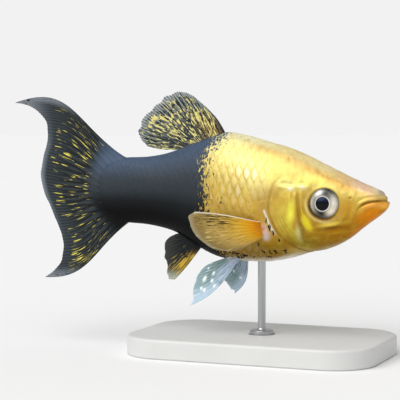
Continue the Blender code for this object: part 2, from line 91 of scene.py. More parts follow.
def smoothLine(x, knots):  # the cubic through (x, y) knots that never overshoots them
    kx, ky = np.array(knots, float).T
    x = np.clip(x, kx[0], kx[-1])
    step = np.diff(kx)
    slope = np.diff(ky) / step
    product = slope[:-1] * slope[1:]
    w1, w2 = 2 * step[1:] + step[:-1], step[1:] + 2 * step[:-1]
    under = np.where(product > 0, w1 * slope[1:] + w2 * slope[:-1], 1)
    lean = np.concatenate([slope[:1], np.where(product > 0, (w1 + w2) * product / under, 0), slope[-1:]])
    i = np.clip(np.searchsorted(kx, x) - 1, 0, len(step) - 1)
    t = (x - kx[i]) / step[i]
    ends = ky[i] * (1 + 2 * t) * (1 - t) ** 2 + ky[i + 1] * t * t * (3 - 2 * t)
    return ends + step[i] * (lean[i] * t * (1 - t) ** 2 - lean[i + 1] * t * t * (1 - t))


def through(points, shares):  # places at shares 0 to 1 along the smooth line through the points
    p = np.array(points, float)
    along = np.concatenate([[0], np.cumsum(np.linalg.norm(np.diff(p, axis=0), axis=1))])
    along /= along[-1]
    return np.stack([smoothLine(shares, np.stack([along, p[:, k]], 1)) for k in range(p.shape[1])], -1)


def lineDistance(x, z, knots):  # distance to a line, above 0 on its left, and the share along it
    line = through(knots, np.linspace(0, 1, 50))
    best, side, share = np.full(x.shape, 1e9), np.zeros(x.shape), np.zeros(x.shape)
    for k, (a, b) in enumerate(zip(line, line[1:])):
        run = b - a
        t = np.clip(((x - a[0]) * run[0] + (z - a[1]) * run[1]) / (run @ run), 0, 1)
        dx, dz = x - a[0] - t * run[0], z - a[1] - t * run[1]
        away = np.hypot(dx, dz)
        closer = away < best
        best = np.where(closer, away, best)
        side = np.where(closer, np.sign(run[0] * dz - run[1] * dx), side)
        share = np.where(closer, (k + t) / (len(line) - 1), share)
    return best * side, share


# steps for each axis and for the seed, and a spread, that turn a lattice place into a random value
scatter = {"steps": (12.9898, 78.233, 37.719), "seedStep": 7.31, "spread": 43758.5453}


def cloud(points, cell, seed):  # random values on a lattice of the cell size, eased between corners
    p = points / np.asarray(cell)
    low = np.floor(p)
    t = p - low
    t = t * t * (3 - 2 * t)
    total = np.zeros(points.shape[:-1])
    steps = np.array(scatter["steps"])[:points.shape[-1]]
    for corner in itertools.product((0, 1), repeat=points.shape[-1]):
        corner = np.array(corner)
        share = np.prod(np.where(corner, t, 1 - t), -1)
        value = (low + corner) @ steps + seed * scatter["seedStep"]
        total += share * np.modf(np.abs(np.sin(value) * scatter["spread"]))[0]
    return total


def turns(count):  # angles of even places round a circle
    return np.arange(count) / count * 2 * math.pi


def gridFaces(rows, columns, closed):  # quads of a grid, with (row, column) of each corner
    i, j = np.meshgrid(np.arange(rows - 1), np.arange(columns if closed else columns - 1), indexing="ij")
    corners = np.stack([np.stack([i, j], -1), np.stack([i + 1, j], -1),
                        np.stack([i + 1, j + 1], -1), np.stack([i, j + 1], -1)], -2).reshape(-1, 4, 2)
    faces = corners[..., 0] * columns + corners[..., 1] % columns
    return faces, corners


def turnedFaces(rings, around):  # a closed grid's quads and the fans to its two poles, which come last
    faces, _ = gridFaces(rings, around, closed=True)
    j = np.arange(around)
    k = (j + 1) % around
    last, pole = (rings - 1) * around, rings * around
    return [faces, np.stack([j, k, 0 * j + pole], 1), np.stack([last + k, last + j, 0 * j + pole + 1], 1)]


def addPiece(name, points, faces, material, uv=None, values=None):
    # points in metres, faces as arrays of equal-sided polygons, uv as corner arrays to match,
    # values held at the points: numbers, colours, or vectors where the name ends in Place
    points = points.reshape(-1, 3)
    fans = [np.stack([f[:, 0], f[:, k], f[:, k + 1]], 1) for f in faces for k in range(1, f.shape[1] - 1)]
    a, b, c = (points[np.concatenate(fans)[:, k]] for k in range(3))
    if np.sum(a * np.cross(b, c)) < 0:  # a shape with a negative volume is turned the right way out
        faces = [f[:, ::-1] for f in faces]
        uv = uv and [u[:, ::-1] for u in uv]
    loops = np.concatenate([f.ravel() for f in faces])
    sides = np.concatenate([np.full(len(f), f.shape[1]) for f in faces])
    mesh = bpy.data.meshes.new(name)
    mesh.vertices.add(len(points))
    mesh.vertices.foreach_set("co", points.ravel())
    mesh.loops.add(len(loops))
    mesh.loops.foreach_set("vertex_index", loops.astype(np.int32))
    mesh.polygons.add(len(sides))
    mesh.polygons.foreach_set("loop_start", (np.cumsum(sides) - sides).astype(np.int32))
    mesh.update(calc_edges=True)
    if uv:
        places = np.concatenate([u.reshape(-1, 2) for u in uv])
        mesh.uv_layers.new(name="OFBake").data.foreach_set("uv", places.ravel())
    for key, value in (values or {}).items():
        if value.ndim == 1:
            mesh.attributes.new(key, "FLOAT", "POINT").data.foreach_set("value", value)
        elif key.endswith("Place"):
            mesh.attributes.new(key, "FLOAT_VECTOR", "POINT").data.foreach_set("vector", value.ravel())
        else:
            colour = np.concatenate([value, np.ones((len(value), 1))], 1)
            mesh.attributes.new(key, "FLOAT_COLOR", "POINT").data.foreach_set("color", colour.ravel())
    mesh.shade_smooth()
    mesh.materials.append(material)
    piece = bpy.data.objects.new(name, mesh)
    bpy.context.scene.collection.objects.link(piece)
    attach(piece, "root")
    return piece


# Small tools for materials

def addNode(tree, kind, inputs=None, **settings):  # inputs hold a value or another node's output
    node = tree.nodes.new("ShaderNode" + kind)
    for key, value in settings.items():
        setattr(node, key, value)
    for key, value in (inputs or {}).items():
        if isinstance(value, bpy.types.NodeSocket):
            tree.links.new(value, node.inputs[key])
        elif isinstance(value, str):
            node.inputs[key].default_value = (*linear(value), 1)
        else:
            node.inputs[key].default_value = value
    return node


def newMaterial(name):  # a material with an empty node tree
    material = bpy.data.materials.new(name)
    material.use_nodes = True
    tree = material.node_tree
    tree.nodes.clear()
    return material, tree


def finishMaterial(tree, inputs):  # one shader, straight to the output
    shader = addNode(tree, "BsdfPrincipled", inputs)
    addNode(tree, "OutputMaterial", {"Surface": shader.outputs[0]})


def objectPlace(tree):  # a point's own place, in metres
    return addNode(tree, "TexCoord").outputs["Object"]


def attribute(tree, name, output="Fac"):  # what the mesh holds at its points under this name
    return addNode(tree, "Attribute", attribute_name=name).outputs[output]


def stretched(tree, place, scale, shift=(0, 0, 0)):  # places times a scale on each axis, then shifted
    return addNode(tree, "Mapping", {"Vector": place, "Scale": scale, "Location": shift}).outputs[0]


def noise(tree, place, size, detail=2.0, roughness=0.5):  # clouds about this many millimetres across
    inputs = {"Vector": place, "Scale": 1 / (size * mm), "Detail": detail, "Roughness": roughness}
    return addNode(tree, "TexNoise", inputs).outputs[0]


def remap(tree, value, source=(0, 1), target=(0, 1), kind="LINEAR"):  # source's ends become target's
    ends = dict(zip(("From Min", "From Max", "To Min", "To Max"), source + target))
    return addNode(tree, "MapRange", {"Value": value, **ends}, interpolation_type=kind).outputs[0]


def mixed(tree, share, first, second, kind="MIX"):  # the first colour moved to the second by a share
    return addNode(tree, "Mix", {0: share, 6: first, 7: second}, data_type="RGBA", blend_type=kind).outputs[2]


def reckon(tree, operation, *values):  # one sum with up to three values
    return addNode(tree, "Math", dict(enumerate(values)), operation=operation).outputs[0]


def magnitude(tree, vector):  # how long a vector is
    return addNode(tree, "VectorMath", {0: vector}, operation="LENGTH").outputs["Value"]


def bumped(tree, height, strength, depth):  # relief too fine for the mesh, its depth in millimetres
    inputs = {"Height": height, "Strength": strength, "Distance": depth * mm}
    return addNode(tree, "Bump", inputs).outputs[0]


# The body's surface

body = {
    # place, back, belly, half width, height of the widest line, fullness above and below it
    "stations": (
        (-28.8, 3.2, -1.6, 0.95, 0.7, 2.4, 2.4),
        (-27.6, 4.9, -3.3, 1.25, 0.7, 2.4, 2.4),
        (-25.5, 6.6, -5.0, 1.65, 0.8, 2.3, 2.3),
        (-22.0, 7.6, -6.0, 2.20, 0.8, 2.2, 2.2),
        (-18.0, 7.7, -6.2, 2.85, 0.7, 2.1, 2.1),
        (-13.1, 8.4, -7.0, 3.50, 0.6, 2.0, 2.1),
        (-10.0, 9.4, -8.0, 3.95, 0.4, 2.0, 2.1),
        (-7.5, 10.4, -9.5, 4.35, 0.2, 1.95, 2.1),
        (-5.0, 11.2, -11.0, 4.80, 0.0, 1.9, 2.1),
        (-1.5, 12.5, -12.5, 5.40, -0.4, 1.9, 2.1),
        (0.7, 13.0, -13.0, 5.75, -0.6, 1.9, 2.2),
        (4.0, 12.5, -13.3, 6.15, -0.8, 1.95, 2.2),
        (9.5, 11.1, -13.2, 6.50, -1.0, 2.0, 2.2),
        (14.4, 9.7, -12.3, 6.50, -1.2, 2.05, 2.1),
        (18.5, 8.0, -11.0, 6.10, -1.3, 2.1, 2.0),
        (22.1, 6.3, -10.2, 5.40, -1.2, 2.2, 1.9),
        (26.0, 4.5, -8.5, 4.50, -1.0, 2.3, 1.9),
        (29.7, 2.85, -5.6, 3.55, -0.7, 2.3, 1.9),
        (32.3, 1.9, -3.75, 2.75, -0.5, 2.3, 2.0),
        (33.6, 1.3, -2.75, 1.95, -0.6, 2.2, 2.0),
        (34.3, 0.75, -2.05, 1.25, -0.65, 2.1, 2.0),
        (34.6, 0.2, -1.5, 0.65, -0.65, 2.0, 2.0),
    ),
    "soften": 0.9,       # how far, in mm, the outlines are eased along the body
    "easeStep": 0.05,    # mm between the places where they are eased
    "lips": (30, 33.2),  # the easing fades out over this stretch
    "step": 0.08,        # mm between the sections of the surface that all pieces are laid on
    "around": 640,       # even places round each section
    "angles": 1441,      # angles that each section is drawn with first
}


def easedColumn(x, column):  # a column of the stations, averaged over nearby places except at the lips
    knots = np.array(body["stations"])[:, [0, column]]
    step = body["easeStep"]
    fine = np.arange(knots[0, 0], knots[-1, 0], step)
    raw = smoothLine(fine, knots)
    reach = int(3 * body["soften"] / step)
    weights = bell(np.arange(-reach, reach + 1) * step, body["soften"] * 1.4)
    padded = np.concatenate([2 * raw[0] - raw[reach:0:-1], raw, 2 * raw[-1] - raw[-2:-reach - 2:-1]])
    eased = np.convolve(padded, weights / weights.sum(), "valid")
    keep = smoothStep(fine, *body["lips"])
    return np.interp(x, fine, eased + (raw - eased) * keep)


def sections(x):  # rings at each x, from the belly up the right flank, over the back and down the left
    back, belly, half, level, above, below = (easedColumn(x, c)[:, None] for c in range(1, 7))
    angle = np.linspace(0, 2 * math.pi, body["angles"])[None, :]
    low = np.cos(angle) > 0
    power = 2 / np.where(low, below, above)
    reach = np.where(low, level - belly, back - level)
    y = -half * np.sign(np.sin(angle)) * np.abs(np.sin(angle)) ** power
    z = level - reach * np.sign(np.cos(angle)) * np.abs(np.cos(angle)) ** power
    along = np.concatenate([np.zeros((len(x), 1)), np.cumsum(np.hypot(np.diff(y), np.diff(z)), 1)], 1)
    shares = np.arange(body["around"]) / body["around"]
    even = np.array([[np.interp(shares, a / a[-1], b), np.interp(shares, a / a[-1], c)]
                     for a, b, c in zip(along, y, z)])
    rings = np.stack([np.repeat(x[:, None], body["around"], 1), even[:, 0], even[:, 1]], -1)
    return rings, along[:, -1]


def outward(rings):  # unit normals of a grid of rings, from the two directions of the grid
    along = np.gradient(rings, axis=0)
    around = np.roll(rings, -1, 1) - np.roll(rings, 1, 1)
    normal = np.cross(along, around)
    return normal / np.maximum(np.linalg.norm(normal, axis=-1, keepdims=True), 1e-9)


bodyX = np.arange(body["stations"][0][0], body["stations"][-1][0] + 1e-6, body["step"])
bodyRings, bodyGirth = sections(bodyX)
bodyNormals = outward(bodyRings)


def onBody(x, share, lift=0.0):  # the surface at x and a share round it, moved out by lift
    i = np.clip((x - bodyX[0]) / body["step"], 0, len(bodyX) - 1.001)
    j = (share % 1) * body["around"]
    i0, j0 = np.floor(i).astype(int), np.floor(j).astype(int) % body["around"]
    j1 = (j0 + 1) % body["around"]
    a, b = (i - i0)[..., None], (j - np.floor(j))[..., None]
    point, normal = (
        (g[i0, j0] * (1 - b) + g[i0, j1] * b) * (1 - a) + (g[i0 + 1, j0] * (1 - b) + g[i0 + 1, j1] * b) * a
        for g in (bodyRings, bodyNormals)
    )
    return point + normal * np.asarray(lift)[..., None]


print("body surface ready")


# Relief of the head, in the side view: lines run (x, z) in mm

head = {
    "mouth": ((29.1, -3.2), (29.4, -2.3), (30.1, -1.4), (31.2, -0.75), (32.5, -0.45), (33.7, -0.35),
              (35.6, -0.35)),
    "mouthDepth": 0.32,
    # ridges beside a line: distance from it, width and height in mm; a groove's height is below 0
    "lipRidges": ((0.50, 0.30, 0.15), (1.05, 0.2, -0.12), (-0.60, 0.42, 0.20), (-1.55, 0.3, -0.12)),
    "jawFold": ((29.1, -3.1), (28.6, -4.4), (28.6, -5.6), (29.1, -6.9)),
    "gillEdge": ((16.4, 4.3), (14.4, 3.9), (13.0, 2.6), (12.25, 0.6), (11.9, -1.8), (12.9, -5.2),
                 (14.9, -8.3), (17.1, -9.9), (19.2, -10.6), (21.5, -10.9)),
    "gillLift": 0.13,
    "gillGroove": ((-0.15, 0.3, -0.10),),
    "cheekFold": ((17.8, 2.2), (17.9, 0.6), (18.0, -1.5), (18.2, -3.6), (18.6, -6.2), (18.9, -8.2)),
    "templeFold": ((20.6, 1.4), (19.0, 2.3), (17.4, 2.3), (16.0, 2.0), (14.4, 2.2), (13.0, 2.2)),
    "templeRing": (17.4, 4.0, 1.1),
    "lowerFold": ((15.6, -6.6), (17.4, -8.3), (19.8, -9.0), (22.6, -8.8)),
    "noseFold": ((20.2, 4.6), (23.2, 3.7), (26.2, 2.6), (28.6, 1.7)),
    "eye": (23.05, -0.9),
    "eyeRadius": 3.0,
    "socket": 1.7,              # depth of the eye's opening, mm
    "hollow": (0.26, 1.6),      # behind the eye: depth and reach, mm
    "rimRidge": ((0.30, 0.30, 0.04),),  # all round the eye; the next are under it
    "eyeRidges": ((0.30, 0.30, 0.06), (0.95, 0.28, -0.05), (1.5, 0.42, 0.16), (2.2, 0.30, -0.17),
                  (3.0, 0.5, 0.10), (3.8, 0.4, -0.06)),
    "nostril": (28.1, 0.2, 0.2),
    "nostrilDepth": 0.20,
    "finPad": (11.0, -6.5),
    "padSize": (1.2, 1.6),
    "padHeight": 0.38,
    # each fold: its line, the shares of it over which it comes in and fades out, and its ridges
    "folds": (
        ("jawFold", (0, 0.15), (1, 0.5), ((0, 0.32, -0.12),)),
        ("cheekFold", (0, 0.2), (1, 0.8), ((-1.6, 0.3, 0.07), (-1.15, 0.22, -0.07), (-0.55, 0.5, 0.13),
                                           (0, 0.26, -0.17), (0.7, 0.4, 0.10))),
        ("templeFold", (0, 0.15), (1, 0.8), ((0, 0.36, 0.09), (-0.75, 0.34, -0.06))),
        ("lowerFold", (0, 0.3), (1, 0.6), ((0, 0.25, -0.09),)),
        ("noseFold", (0, 0.3), (1, 0.6), ((0, 0.55, 0.10),)),
    ),
}


def ridges(gap, rows):  # the sum of a bell of the distance for each row of place, width and height
    return sum(height * bell(gap - at, width) for at, width, height in rows)


def headRelief(x, y, z):  # mm of lift: ridges and grooves as bells of the distance to each line
    lift = np.zeros(x.shape)
    gap, share = lineDistance(x, z, head["mouth"])
    lift -= head["mouthDepth"] * bell(gap, 0.2) * smoothStep(share, 0.0, 0.35)
    lips = smoothStep(x, 28.9, 30.6) * (1 - 0.7 * smoothStep(x, 33.3, 34.4))
    lift += lips * ridges(gap, head["lipRidges"])
    for line, comeIn, fadeOut, rows in head["folds"]:
        gap, share = lineDistance(x, z, head[line])
        ends = smoothStep(share, *comeIn) * smoothStep(share, *fadeOut)
        lift += ends * ridges(gap, rows)

    gap, share = lineDistance(x, z, head["gillEdge"])
    ends = smoothStep(share, 0, 0.16) * smoothStep(share, 1, 0.9)
    flap = head["gillLift"] * smoothStep(gap, -0.12, 0.25) * np.exp(-np.maximum(gap, 0) / 1.8)
    lift += ends * (flap + ridges(gap, head["gillGroove"]))
    ribs = np.cos(2.6 * (share * 21 + 0.25 * gap)) * bell(gap - 1.6, 1.3)  # the edge is 21 mm long
    lift += 0.045 * ribs * smoothStep(share, 0.45, 0.6) * smoothStep(share, 1, 0.85)
    rx, rz, size = head["templeRing"]
    lift += 0.03 * bell(np.hypot(x - rx, z - rz) - size, 0.4)

    ex, ez = x - head["eye"][0], z - head["eye"][1]
    away = np.hypot(ex, ez)
    under = smoothStep(-ez / (away + 1e-6), -0.35, 0.6)
    rim = head["eyeRadius"]
    depth, reach = head["hollow"]
    lift -= depth * bell(np.maximum(away - rim, 0), reach) * smoothStep(ex, 2.5, -2.5)
    lift -= head["socket"] * smoothStep(away, rim - 0.04, rim - 0.22)
    lift += ridges(away - rim, head["rimRidge"]) + under * ridges(away - rim, head["eyeRidges"])
    nx, nz, size = head["nostril"]
    lift -= head["nostrilDepth"] * bell(np.hypot(x - nx, z - nz), size)
    lift += head["padHeight"] * patchStrength(x, z, (*head["finPad"], *head["padSize"]))
    place = np.stack([x, y, z], -1)
    uneven = cloud(place, (0.9, 0.9, 1.3), 4) + cloud(place, (0.45, 0.45, 0.6), 5) / 2
    uneven = 0.10 * (uneven - 0.75) * smoothStep(x, 12, 15) * smoothStep(x, 33, 29)
    return lift + uneven * smoothStep(away, 3.2, 4)


# Markings and painted light, shared by skin and scales

paint = {
    # gold ground colour by height, 0 at the belly line and 1 at the back; partly painted light:
    # a painted highlight pales it at the back, and painted shade darkens it low on the flank
    "groundAndPaintedLight": ((0.0, "#b9ab86"), (0.05, "#93701f"), (0.14, "#94700f"), (0.30, "#bb922e"),
               (0.50, "#d3ae46"), (0.72, "#d5be60"), (0.88, "#dccb78"), (0.94, "#ebdf96"), (1.0, "#fffbd0")),
    # the rear's colour by height: a painted blue-grey sheen above, black below, its darkening partly painted
    # shade
    "rear": ((0.0, "#010102"), (0.20, "#030304"), (0.36, "#16191b"), (0.52, "#2f353a"), (0.70, "#394047"),
             (0.88, "#414e60"), (1.0, "#46566c")),
    # washes of colour, some of them painted light: x, z, half length, half height, tilt in degrees, colour,
    # strength
    "washes": (
        (23.5, -4.5, 7.0, 5.0, -15, "#a9770f", 0.60),   # cheek
        (25.8, -7.0, 5.5, 1.9, -28, "#a26c02", 0.78),   # under the cheek
        (18.2, -8.6, 3.4, 2.0, -40, "#86700f", 0.65),   # lower gill cover
        (16.8, -10.6, 3.2, 0.9, 8, "#cfb460", 0.75),    # throat
        (16.2, -6.2, 2.2, 0.9, -58, "#d3c33c", 0.60),
        (13.3, 1.4, 1.3, 1.8, 0, "#b08a3e", 0.75),      # rear of the gill cover
        (13.2, -3.4, 0.9, 2.6, 12, "#bb9a44", 0.55),
        (15.0, -3.0, 1.7, 3.6, -12, "#d5c24c", 0.60),
        (16.45, -2.7, 0.85, 2.3, -8, "#f0e850", 1.00),  # bright spot of the gill cover
        (17.6, -0.2, 0.55, 2.2, 4, "#b99c44", 0.40),
        (15.6, 2.7, 2.3, 1.0, -12, "#e6dd8c", 0.80),    # behind the eye
        (18.4, 2.9, 1.6, 1.1, 10, "#ede27c", 0.75),
        (16.3, 1.9, 0.65, 0.35, 10, "#fffce4", 0.70),   # glints on its folds
        (18.7, 2.2, 0.75, 0.35, -20, "#fffbe0", 0.60),
        (20.8, 3.6, 2.8, 0.8, -16, "#efe274", 0.80),    # brow
        (19.5, -4.6, 0.75, 1.9, 24, "#f0e234", 0.95),   # bright spot under the eye's rear
        # dark along the cheek fold's groove: painted shade in the crease
        (18.4, -6.0, 0.45, 2.6, 8, "#6d5f16", 0.55),
        (17.7, -6.9, 0.6, 1.6, 4, "#d9d08c", 0.65),
        (24.6, -4.9, 2.9, 0.42, 9, "#ecd455", 0.85),    # fold under the eye: a painted highlight along its ridge
        # painted shade in the groove under that fold
        (24.4, -5.75, 3.4, 0.36, 7, "#7a5304", 0.80),
        (26.2, -6.5, 3.0, 0.32, 10, "#c99a22", 0.55),
        (27.4, -5.4, 1.9, 1.1, -30, "#9c6802", 0.55),
        (26.7, 4.0, 5.0, 1.2, -27, "#ecc07c", 0.80),    # forehead
        (29.9, 2.5, 3.4, 0.9, -27, "#ecc6a6", 1.00),    # top of the snout
        (30.6, 0.9, 2.0, 0.5, -16, "#d8b06a", 0.60),
        (27.4, -1.6, 1.9, 1.8, -25, "#c8922a", 0.75),   # in front of the eye
        (28.6, -3.9, 1.3, 1.5, -25, "#b37f12", 0.60),
        (31.6, -3.2, 3.2, 1.6, 42, "#dc8200", 1.00),    # lower jaw
        (29.3, -6.0, 2.6, 1.0, 38, "#c47800", 0.90),
        (34.2, -1.2, 0.8, 0.8, 0, "#f7b040", 0.90),     # tip of the lower lip
        (34.0, 0.95, 1.3, 0.36, -32, "#c4b6a8", 1.00),  # tip of the upper jaw
        (33.4, 1.6, 0.9, 0.3, -30, "#8d8577", 0.60),
        (10.9, -6.5, 1.0, 1.5, 18, "#dcb8a2", 0.90),    # base of the pectoral fin
        (10.5, -6.2, 0.6, 0.45, 25, "#b0604a", 0.70),
        (10.9, -7.7, 0.85, 0.80, 20, "#cfc2c8", 0.70),
        (10.6, -0.6, 1.7, 4.0, 0, "#ab8644", 0.70),     # shade behind the gill cover
        (9.0, -11.0, 7.0, 1.4, 2, "#7c5c0e", 0.60),     # above the belly line: painted shade of the underside
        (16.5, 8.8, 7.5, 1.5, -22, "#f2d990", 0.85),    # nape
        (9.6, 3.0, 3.6, 2.4, 0, "#e6d88a", 0.50),       # shoulder
        (3.5, 8.0, 6.0, 3.2, -12, "#e0d488", 0.55),     # upper flank
        (10.5, 7.0, 4.2, 2.0, -20, "#e4d67c", 0.55),
    ),
    "band": {"below": 1.7, "width": 0.75, "colour": "#dba049", "strength": 0.70},
    "bellyRim": {"height": 1.1, "colour": "#efe8da", "strength": 0.9},
    "border": ((0.9, 14.5), (0.3, 12.6), (-1.1, 10.6), (-2.4, 8.6), (-2.9, 6.3), (-2.5, 3.3), (-2.3, 0.3),
               (-2.5, -2.3), (-1.7, -5.5), (-0.7, -9.0), (0.6, -11.5), (1.6, -14.5)),
    "leftShift": -1.1,   # the left flank's border lies this much further back
    "streak": ((10.7, -2.2), (11.15, -3.3), (12.1, -5.6), (13.2, -7.6)),
    # black spots: x, z, half length, half height
    "spots": ((5.5, -11.9, 0.75, 0.3), (7.4, -12.1, 0.5, 0.4), (4.1, -12.3, 0.8, 0.28),
              (9.6, -11.2, 0.28, 0.5), (11.2, -10.9, 0.25, 0.34), (12.4, -10.8, 0.25, 0.36),
              (14.3, -10.6, 0.3, 0.34), (9.0, -9.4, 0.2, 0.5), (2.6, -11.3, 0.9, 0.4),
              (11.25, -4.6, 0.17, 0.5), (11.9, -5.9, 0.2, 0.5), (12.6, -7.0, 0.2, 0.45),
              (13.7, -8.4, 0.2, 0.3), (10.6, -12.0, 0.9, 0.15), (1.7, -1.6, 0.15, 0.8),
              (1.1, -1.2, 0.13, 0.6)),
}


def markingsAndPaintedLight(x, y, z):  # gold and rear colours, both with painted light, and how deep in the black each point lies, in mm
    back, belly = easedColumn(x, 1), easedColumn(x, 2)
    height = np.clip((z - belly) / (back - belly), 0, 1)
    atTail = smoothStep(x, -19, -26)
    height = height + (np.clip((z + 6) / 13, 0, 1) - height) * atTail  # runs on into the tail fin's colours
    left = y > 0
    gold = rampColour(height, paint["groundAndPaintedLight"])
    band = paint["band"]
    over = bell(back - z - band["below"] * smoothStep(x, 34, 26), band["width"]) * smoothStep(x, 3, 9)
    gold = tint(gold, band["colour"], band["strength"] * over * smoothStep(x, 31, 27))
    for wx, wz, length, tall, tilt, colour, strength in paint["washes"]:
        c, s = math.cos(math.radians(tilt)), math.sin(math.radians(tilt))
        u, v = ((x - wx) * c + (z - wz) * s) / length, ((z - wz) * c - (x - wx) * s) / tall
        gold = tint(gold, colour, strength * np.exp(-(u * u + v * v) ** 1.4))
    rim = paint["bellyRim"]
    edge = smoothStep(z - belly, rim["height"], 0.2) * smoothStep(x, 1, 4) * smoothStep(x, 19, 14)
    gold = tint(gold, rim["colour"], rim["strength"] * edge)
    gap, share = lineDistance(x, z, head["mouth"])
    lips = smoothStep(x, 29.6, 31.5)
    gold = tint(gold, "#f2a94a", 0.85 * lips * bell(gap + 0.60, 0.42))
    # pale along the upper lip's ridge: a painted highlight
    gold = tint(gold, "#e2b56c", 0.55 * lips * bell(gap - 0.45, 0.35))
    # dark along the mouth's slit: painted shade in the groove
    gold = tint(gold, "#7d5512", 0.80 * bell(gap - 0.08, 0.24) * smoothStep(share, 0, 0.4))
    gap, share = lineDistance(x, z, head["gillEdge"])
    ends = smoothStep(share, 0.12, 0.3) * smoothStep(share, 1, 0.9)
    lower = smoothStep(share, 0.42, 0.55)
    # dark just behind the gill cover's edge, in its groove: painted shade under the cover
    gold = tint(gold, "#80601c", (0.45 + 0.35 * lower) * ends * bell(gap + 0.2, 0.24))
    lines = bell(gap - 0.85, 0.16) + bell(gap - 1.55, 0.14) + bell(gap - 2.2, 0.12)
    gold = tint(gold, "#8d7a22", 0.5 * ends * lower * lines)
    gap, share = lineDistance(x, z, head["cheekFold"])
    # darker along the cheek fold's groove: painted shade in the crease
    gold = tint(gold, "#9a7c2c", 0.45 * bell(gap, 0.35) * smoothStep(share, 0.05, 0.3))
    ex, ez = x - head["eye"][0], z - head["eye"][1]
    away = np.hypot(ex, ez) - head["eyeRadius"]
    # a painted shadow in the crease round the eye, deepest on its lower rear side
    under = smoothStep(-(0.6 * ex + 0.8 * ez) / (away + head["eyeRadius"]), -0.1, 0.8)
    gold = tint(gold, "#5a3512", (0.25 + 0.65 * under) * bell(away - 0.14, 0.10 + 0.20 * under))
    gold = tint(gold, "#ecd88c", (0.12 + 0.50 * under) * bell(away - 0.65, 0.32))
    nx, nz, size = head["nostril"]
    # dark in the nostril's pit: painted shade
    gold = tint(gold, "#6b4a18", 0.8 * bell(np.hypot(x - nx, z - nz), size))
    gap, share = lineDistance(x, z, paint["streak"])
    ends = smoothStep(share, 0, 0.05) * smoothStep(share, 1, 0.8)
    gold = tint(gold, "#f4f1e8", 0.9 * ends * bell(gap, 0.19))

    shift = np.where(left, paint["leftShift"], 0)
    border = -lineDistance(x - shift, z, paint["border"])[0]
    for sx, sz, length, tall in paint["spots"]:
        sx = np.where(left, sx * 0.93 + 1.3, sx)
        spot = 1 - np.hypot((x - sx) / length, (z - sz) / tall)
        border = np.maximum(border, 2.4 * spot)
    return gold, rampColour(height, paint["rear"]), border


def hideMaterial(name, coatWeight):
    # Wet fish hide: thin clear slime over guanine, so a soft metallic sheen under a gloss.
    # The border of gold and black breaks up into upright flecks about 0.4 mm wide.
    material, tree = newMaterial(name)
    place = objectPlace(tree)
    border = attribute(tree, "border")
    # on a scale: a pale lens behind its middle, a painted highlight, and a thin olive line along its free
    # edge
    spot = attribute(tree, "scalePlace", "Vector")
    lens = magnitude(tree, stretched(tree, spot, (3.4, 1.8, 0), (-1.75, 0, 0)))
    lens = remap(tree, lens, (0, 1.7), (1, 0), "SMOOTHSTEP")
    edge = remap(tree, magnitude(tree, spot), (0.70, 0.98), (0, 1), "SMOOTHSTEP")
    behind = addNode(tree, "SeparateXYZ", {0: spot}).outputs[0]
    behind = remap(tree, behind, (-0.1, 0.5))
    scaleHighlight = reckon(tree, "MULTIPLY", attribute(tree, "scaleHighlight"), lens)
    rim = reckon(tree, "MULTIPLY", attribute(tree, "rim"), edge)
    rim = reckon(tree, "MULTIPLY", rim, behind)

    fleck = noise(tree, stretched(tree, place, (1, 1, 0.4)), 0.42, 3.0, 0.68)
    ragged = reckon(tree, "SUBTRACT", fleck, 0.5)
    ragged = reckon(tree, "MULTIPLY_ADD", ragged, 13.0, border)
    black = remap(tree, ragged, (-0.6, 0.45))

    patch = noise(tree, place, 1.7, 3.0)
    ochre = remap(tree, patch, (0.50, 0.75), (0, 0.26))
    lemon = remap(tree, patch, (0.50, 0.25), (0, 0.14))
    light = mixed(tree, ochre, attribute(tree, "pigmentAndPaintedLight", "Color"), "#b07c18")
    light = mixed(tree, lemon, light, "#f6ec6e")
    streak = noise(tree, stretched(tree, place, (1, 1, 0.22)), 0.34)
    streak = remap(tree, streak, (0.48, 0.62))
    beside = remap(tree, border, (-7.0, -1.0), (0, 0.42))
    light = mixed(tree, reckon(tree, "MULTIPLY", streak, beside), light, "#a08443")
    # the pale lens on each scale: a painted highlight
    light = mixed(tree, scaleHighlight, light, "#fffadc")
    light = mixed(tree, rim, light, "#8d7a30")
    mottle = noise(tree, place, 0.9, 4.0)
    shade = remap(tree, mottle, target=(0.84, 1.14))
    both = mixed(tree, black, light, attribute(tree, "rear", "Color"))
    colour = mixed(tree, 1.0, both, shade, "MULTIPLY")

    metallic = remap(tree, black, target=(0.34, 0.05))
    rough = remap(tree, mottle, target=(0.26, 0.42))
    rough = reckon(tree, "MULTIPLY_ADD", black, 0.18, rough)
    bump = bumped(tree, noise(tree, place, 0.22), 0.5, 0.02)
    finishMaterial(tree, {"Base Color": colour, "Metallic": metallic, "Roughness": rough, "Normal": bump,
                          "Coat Weight": coatWeight, "Coat Roughness": 0.10, "IOR": 1.33,
                          "Specular IOR Level": 0.12})
    return material


# The skin: one closed mesh from the tail's root to the lips

skin = {
    "inset": 0.12,             # mm it lies lower where scales cover it
    "bareFrom": (9.6, 12.4),   # x over which it rises past the foremost scales
    "barePad": (4.0, 2.8),     # mm from the base of the pectoral fin, and from the pale streak,
    "bareStreak": (2.2, 1.3),  # over which it rises there
    "around": 264,             # points in each ring
    "steps": ((-29, 0.42), (7.5, 0.42), (9.5, 0.15), (16, 0.12), (19, 0.094), (36, 0.094)),  # x, mm apart
    "to": 34.3,                # the lips round off from here
    "ends": (0.25, 0.30),      # how far the stem's end and the lips round off, mm
    "endRings": 6,             # rings in each rounded end
    "stemPole": 0.03,          # mm by which the middle of the stem's end stands out
    "underbite": 0.38,         # mm by which the lower lip stands out past the upper
    "stemTaper": 0.45,         # the stem's end thins to this share, under the tail fin's fleshy base
    "stemTaperFrom": (-29.5, -25.5),
    "waviness": 0.03,          # mm of slow rise and fall
}


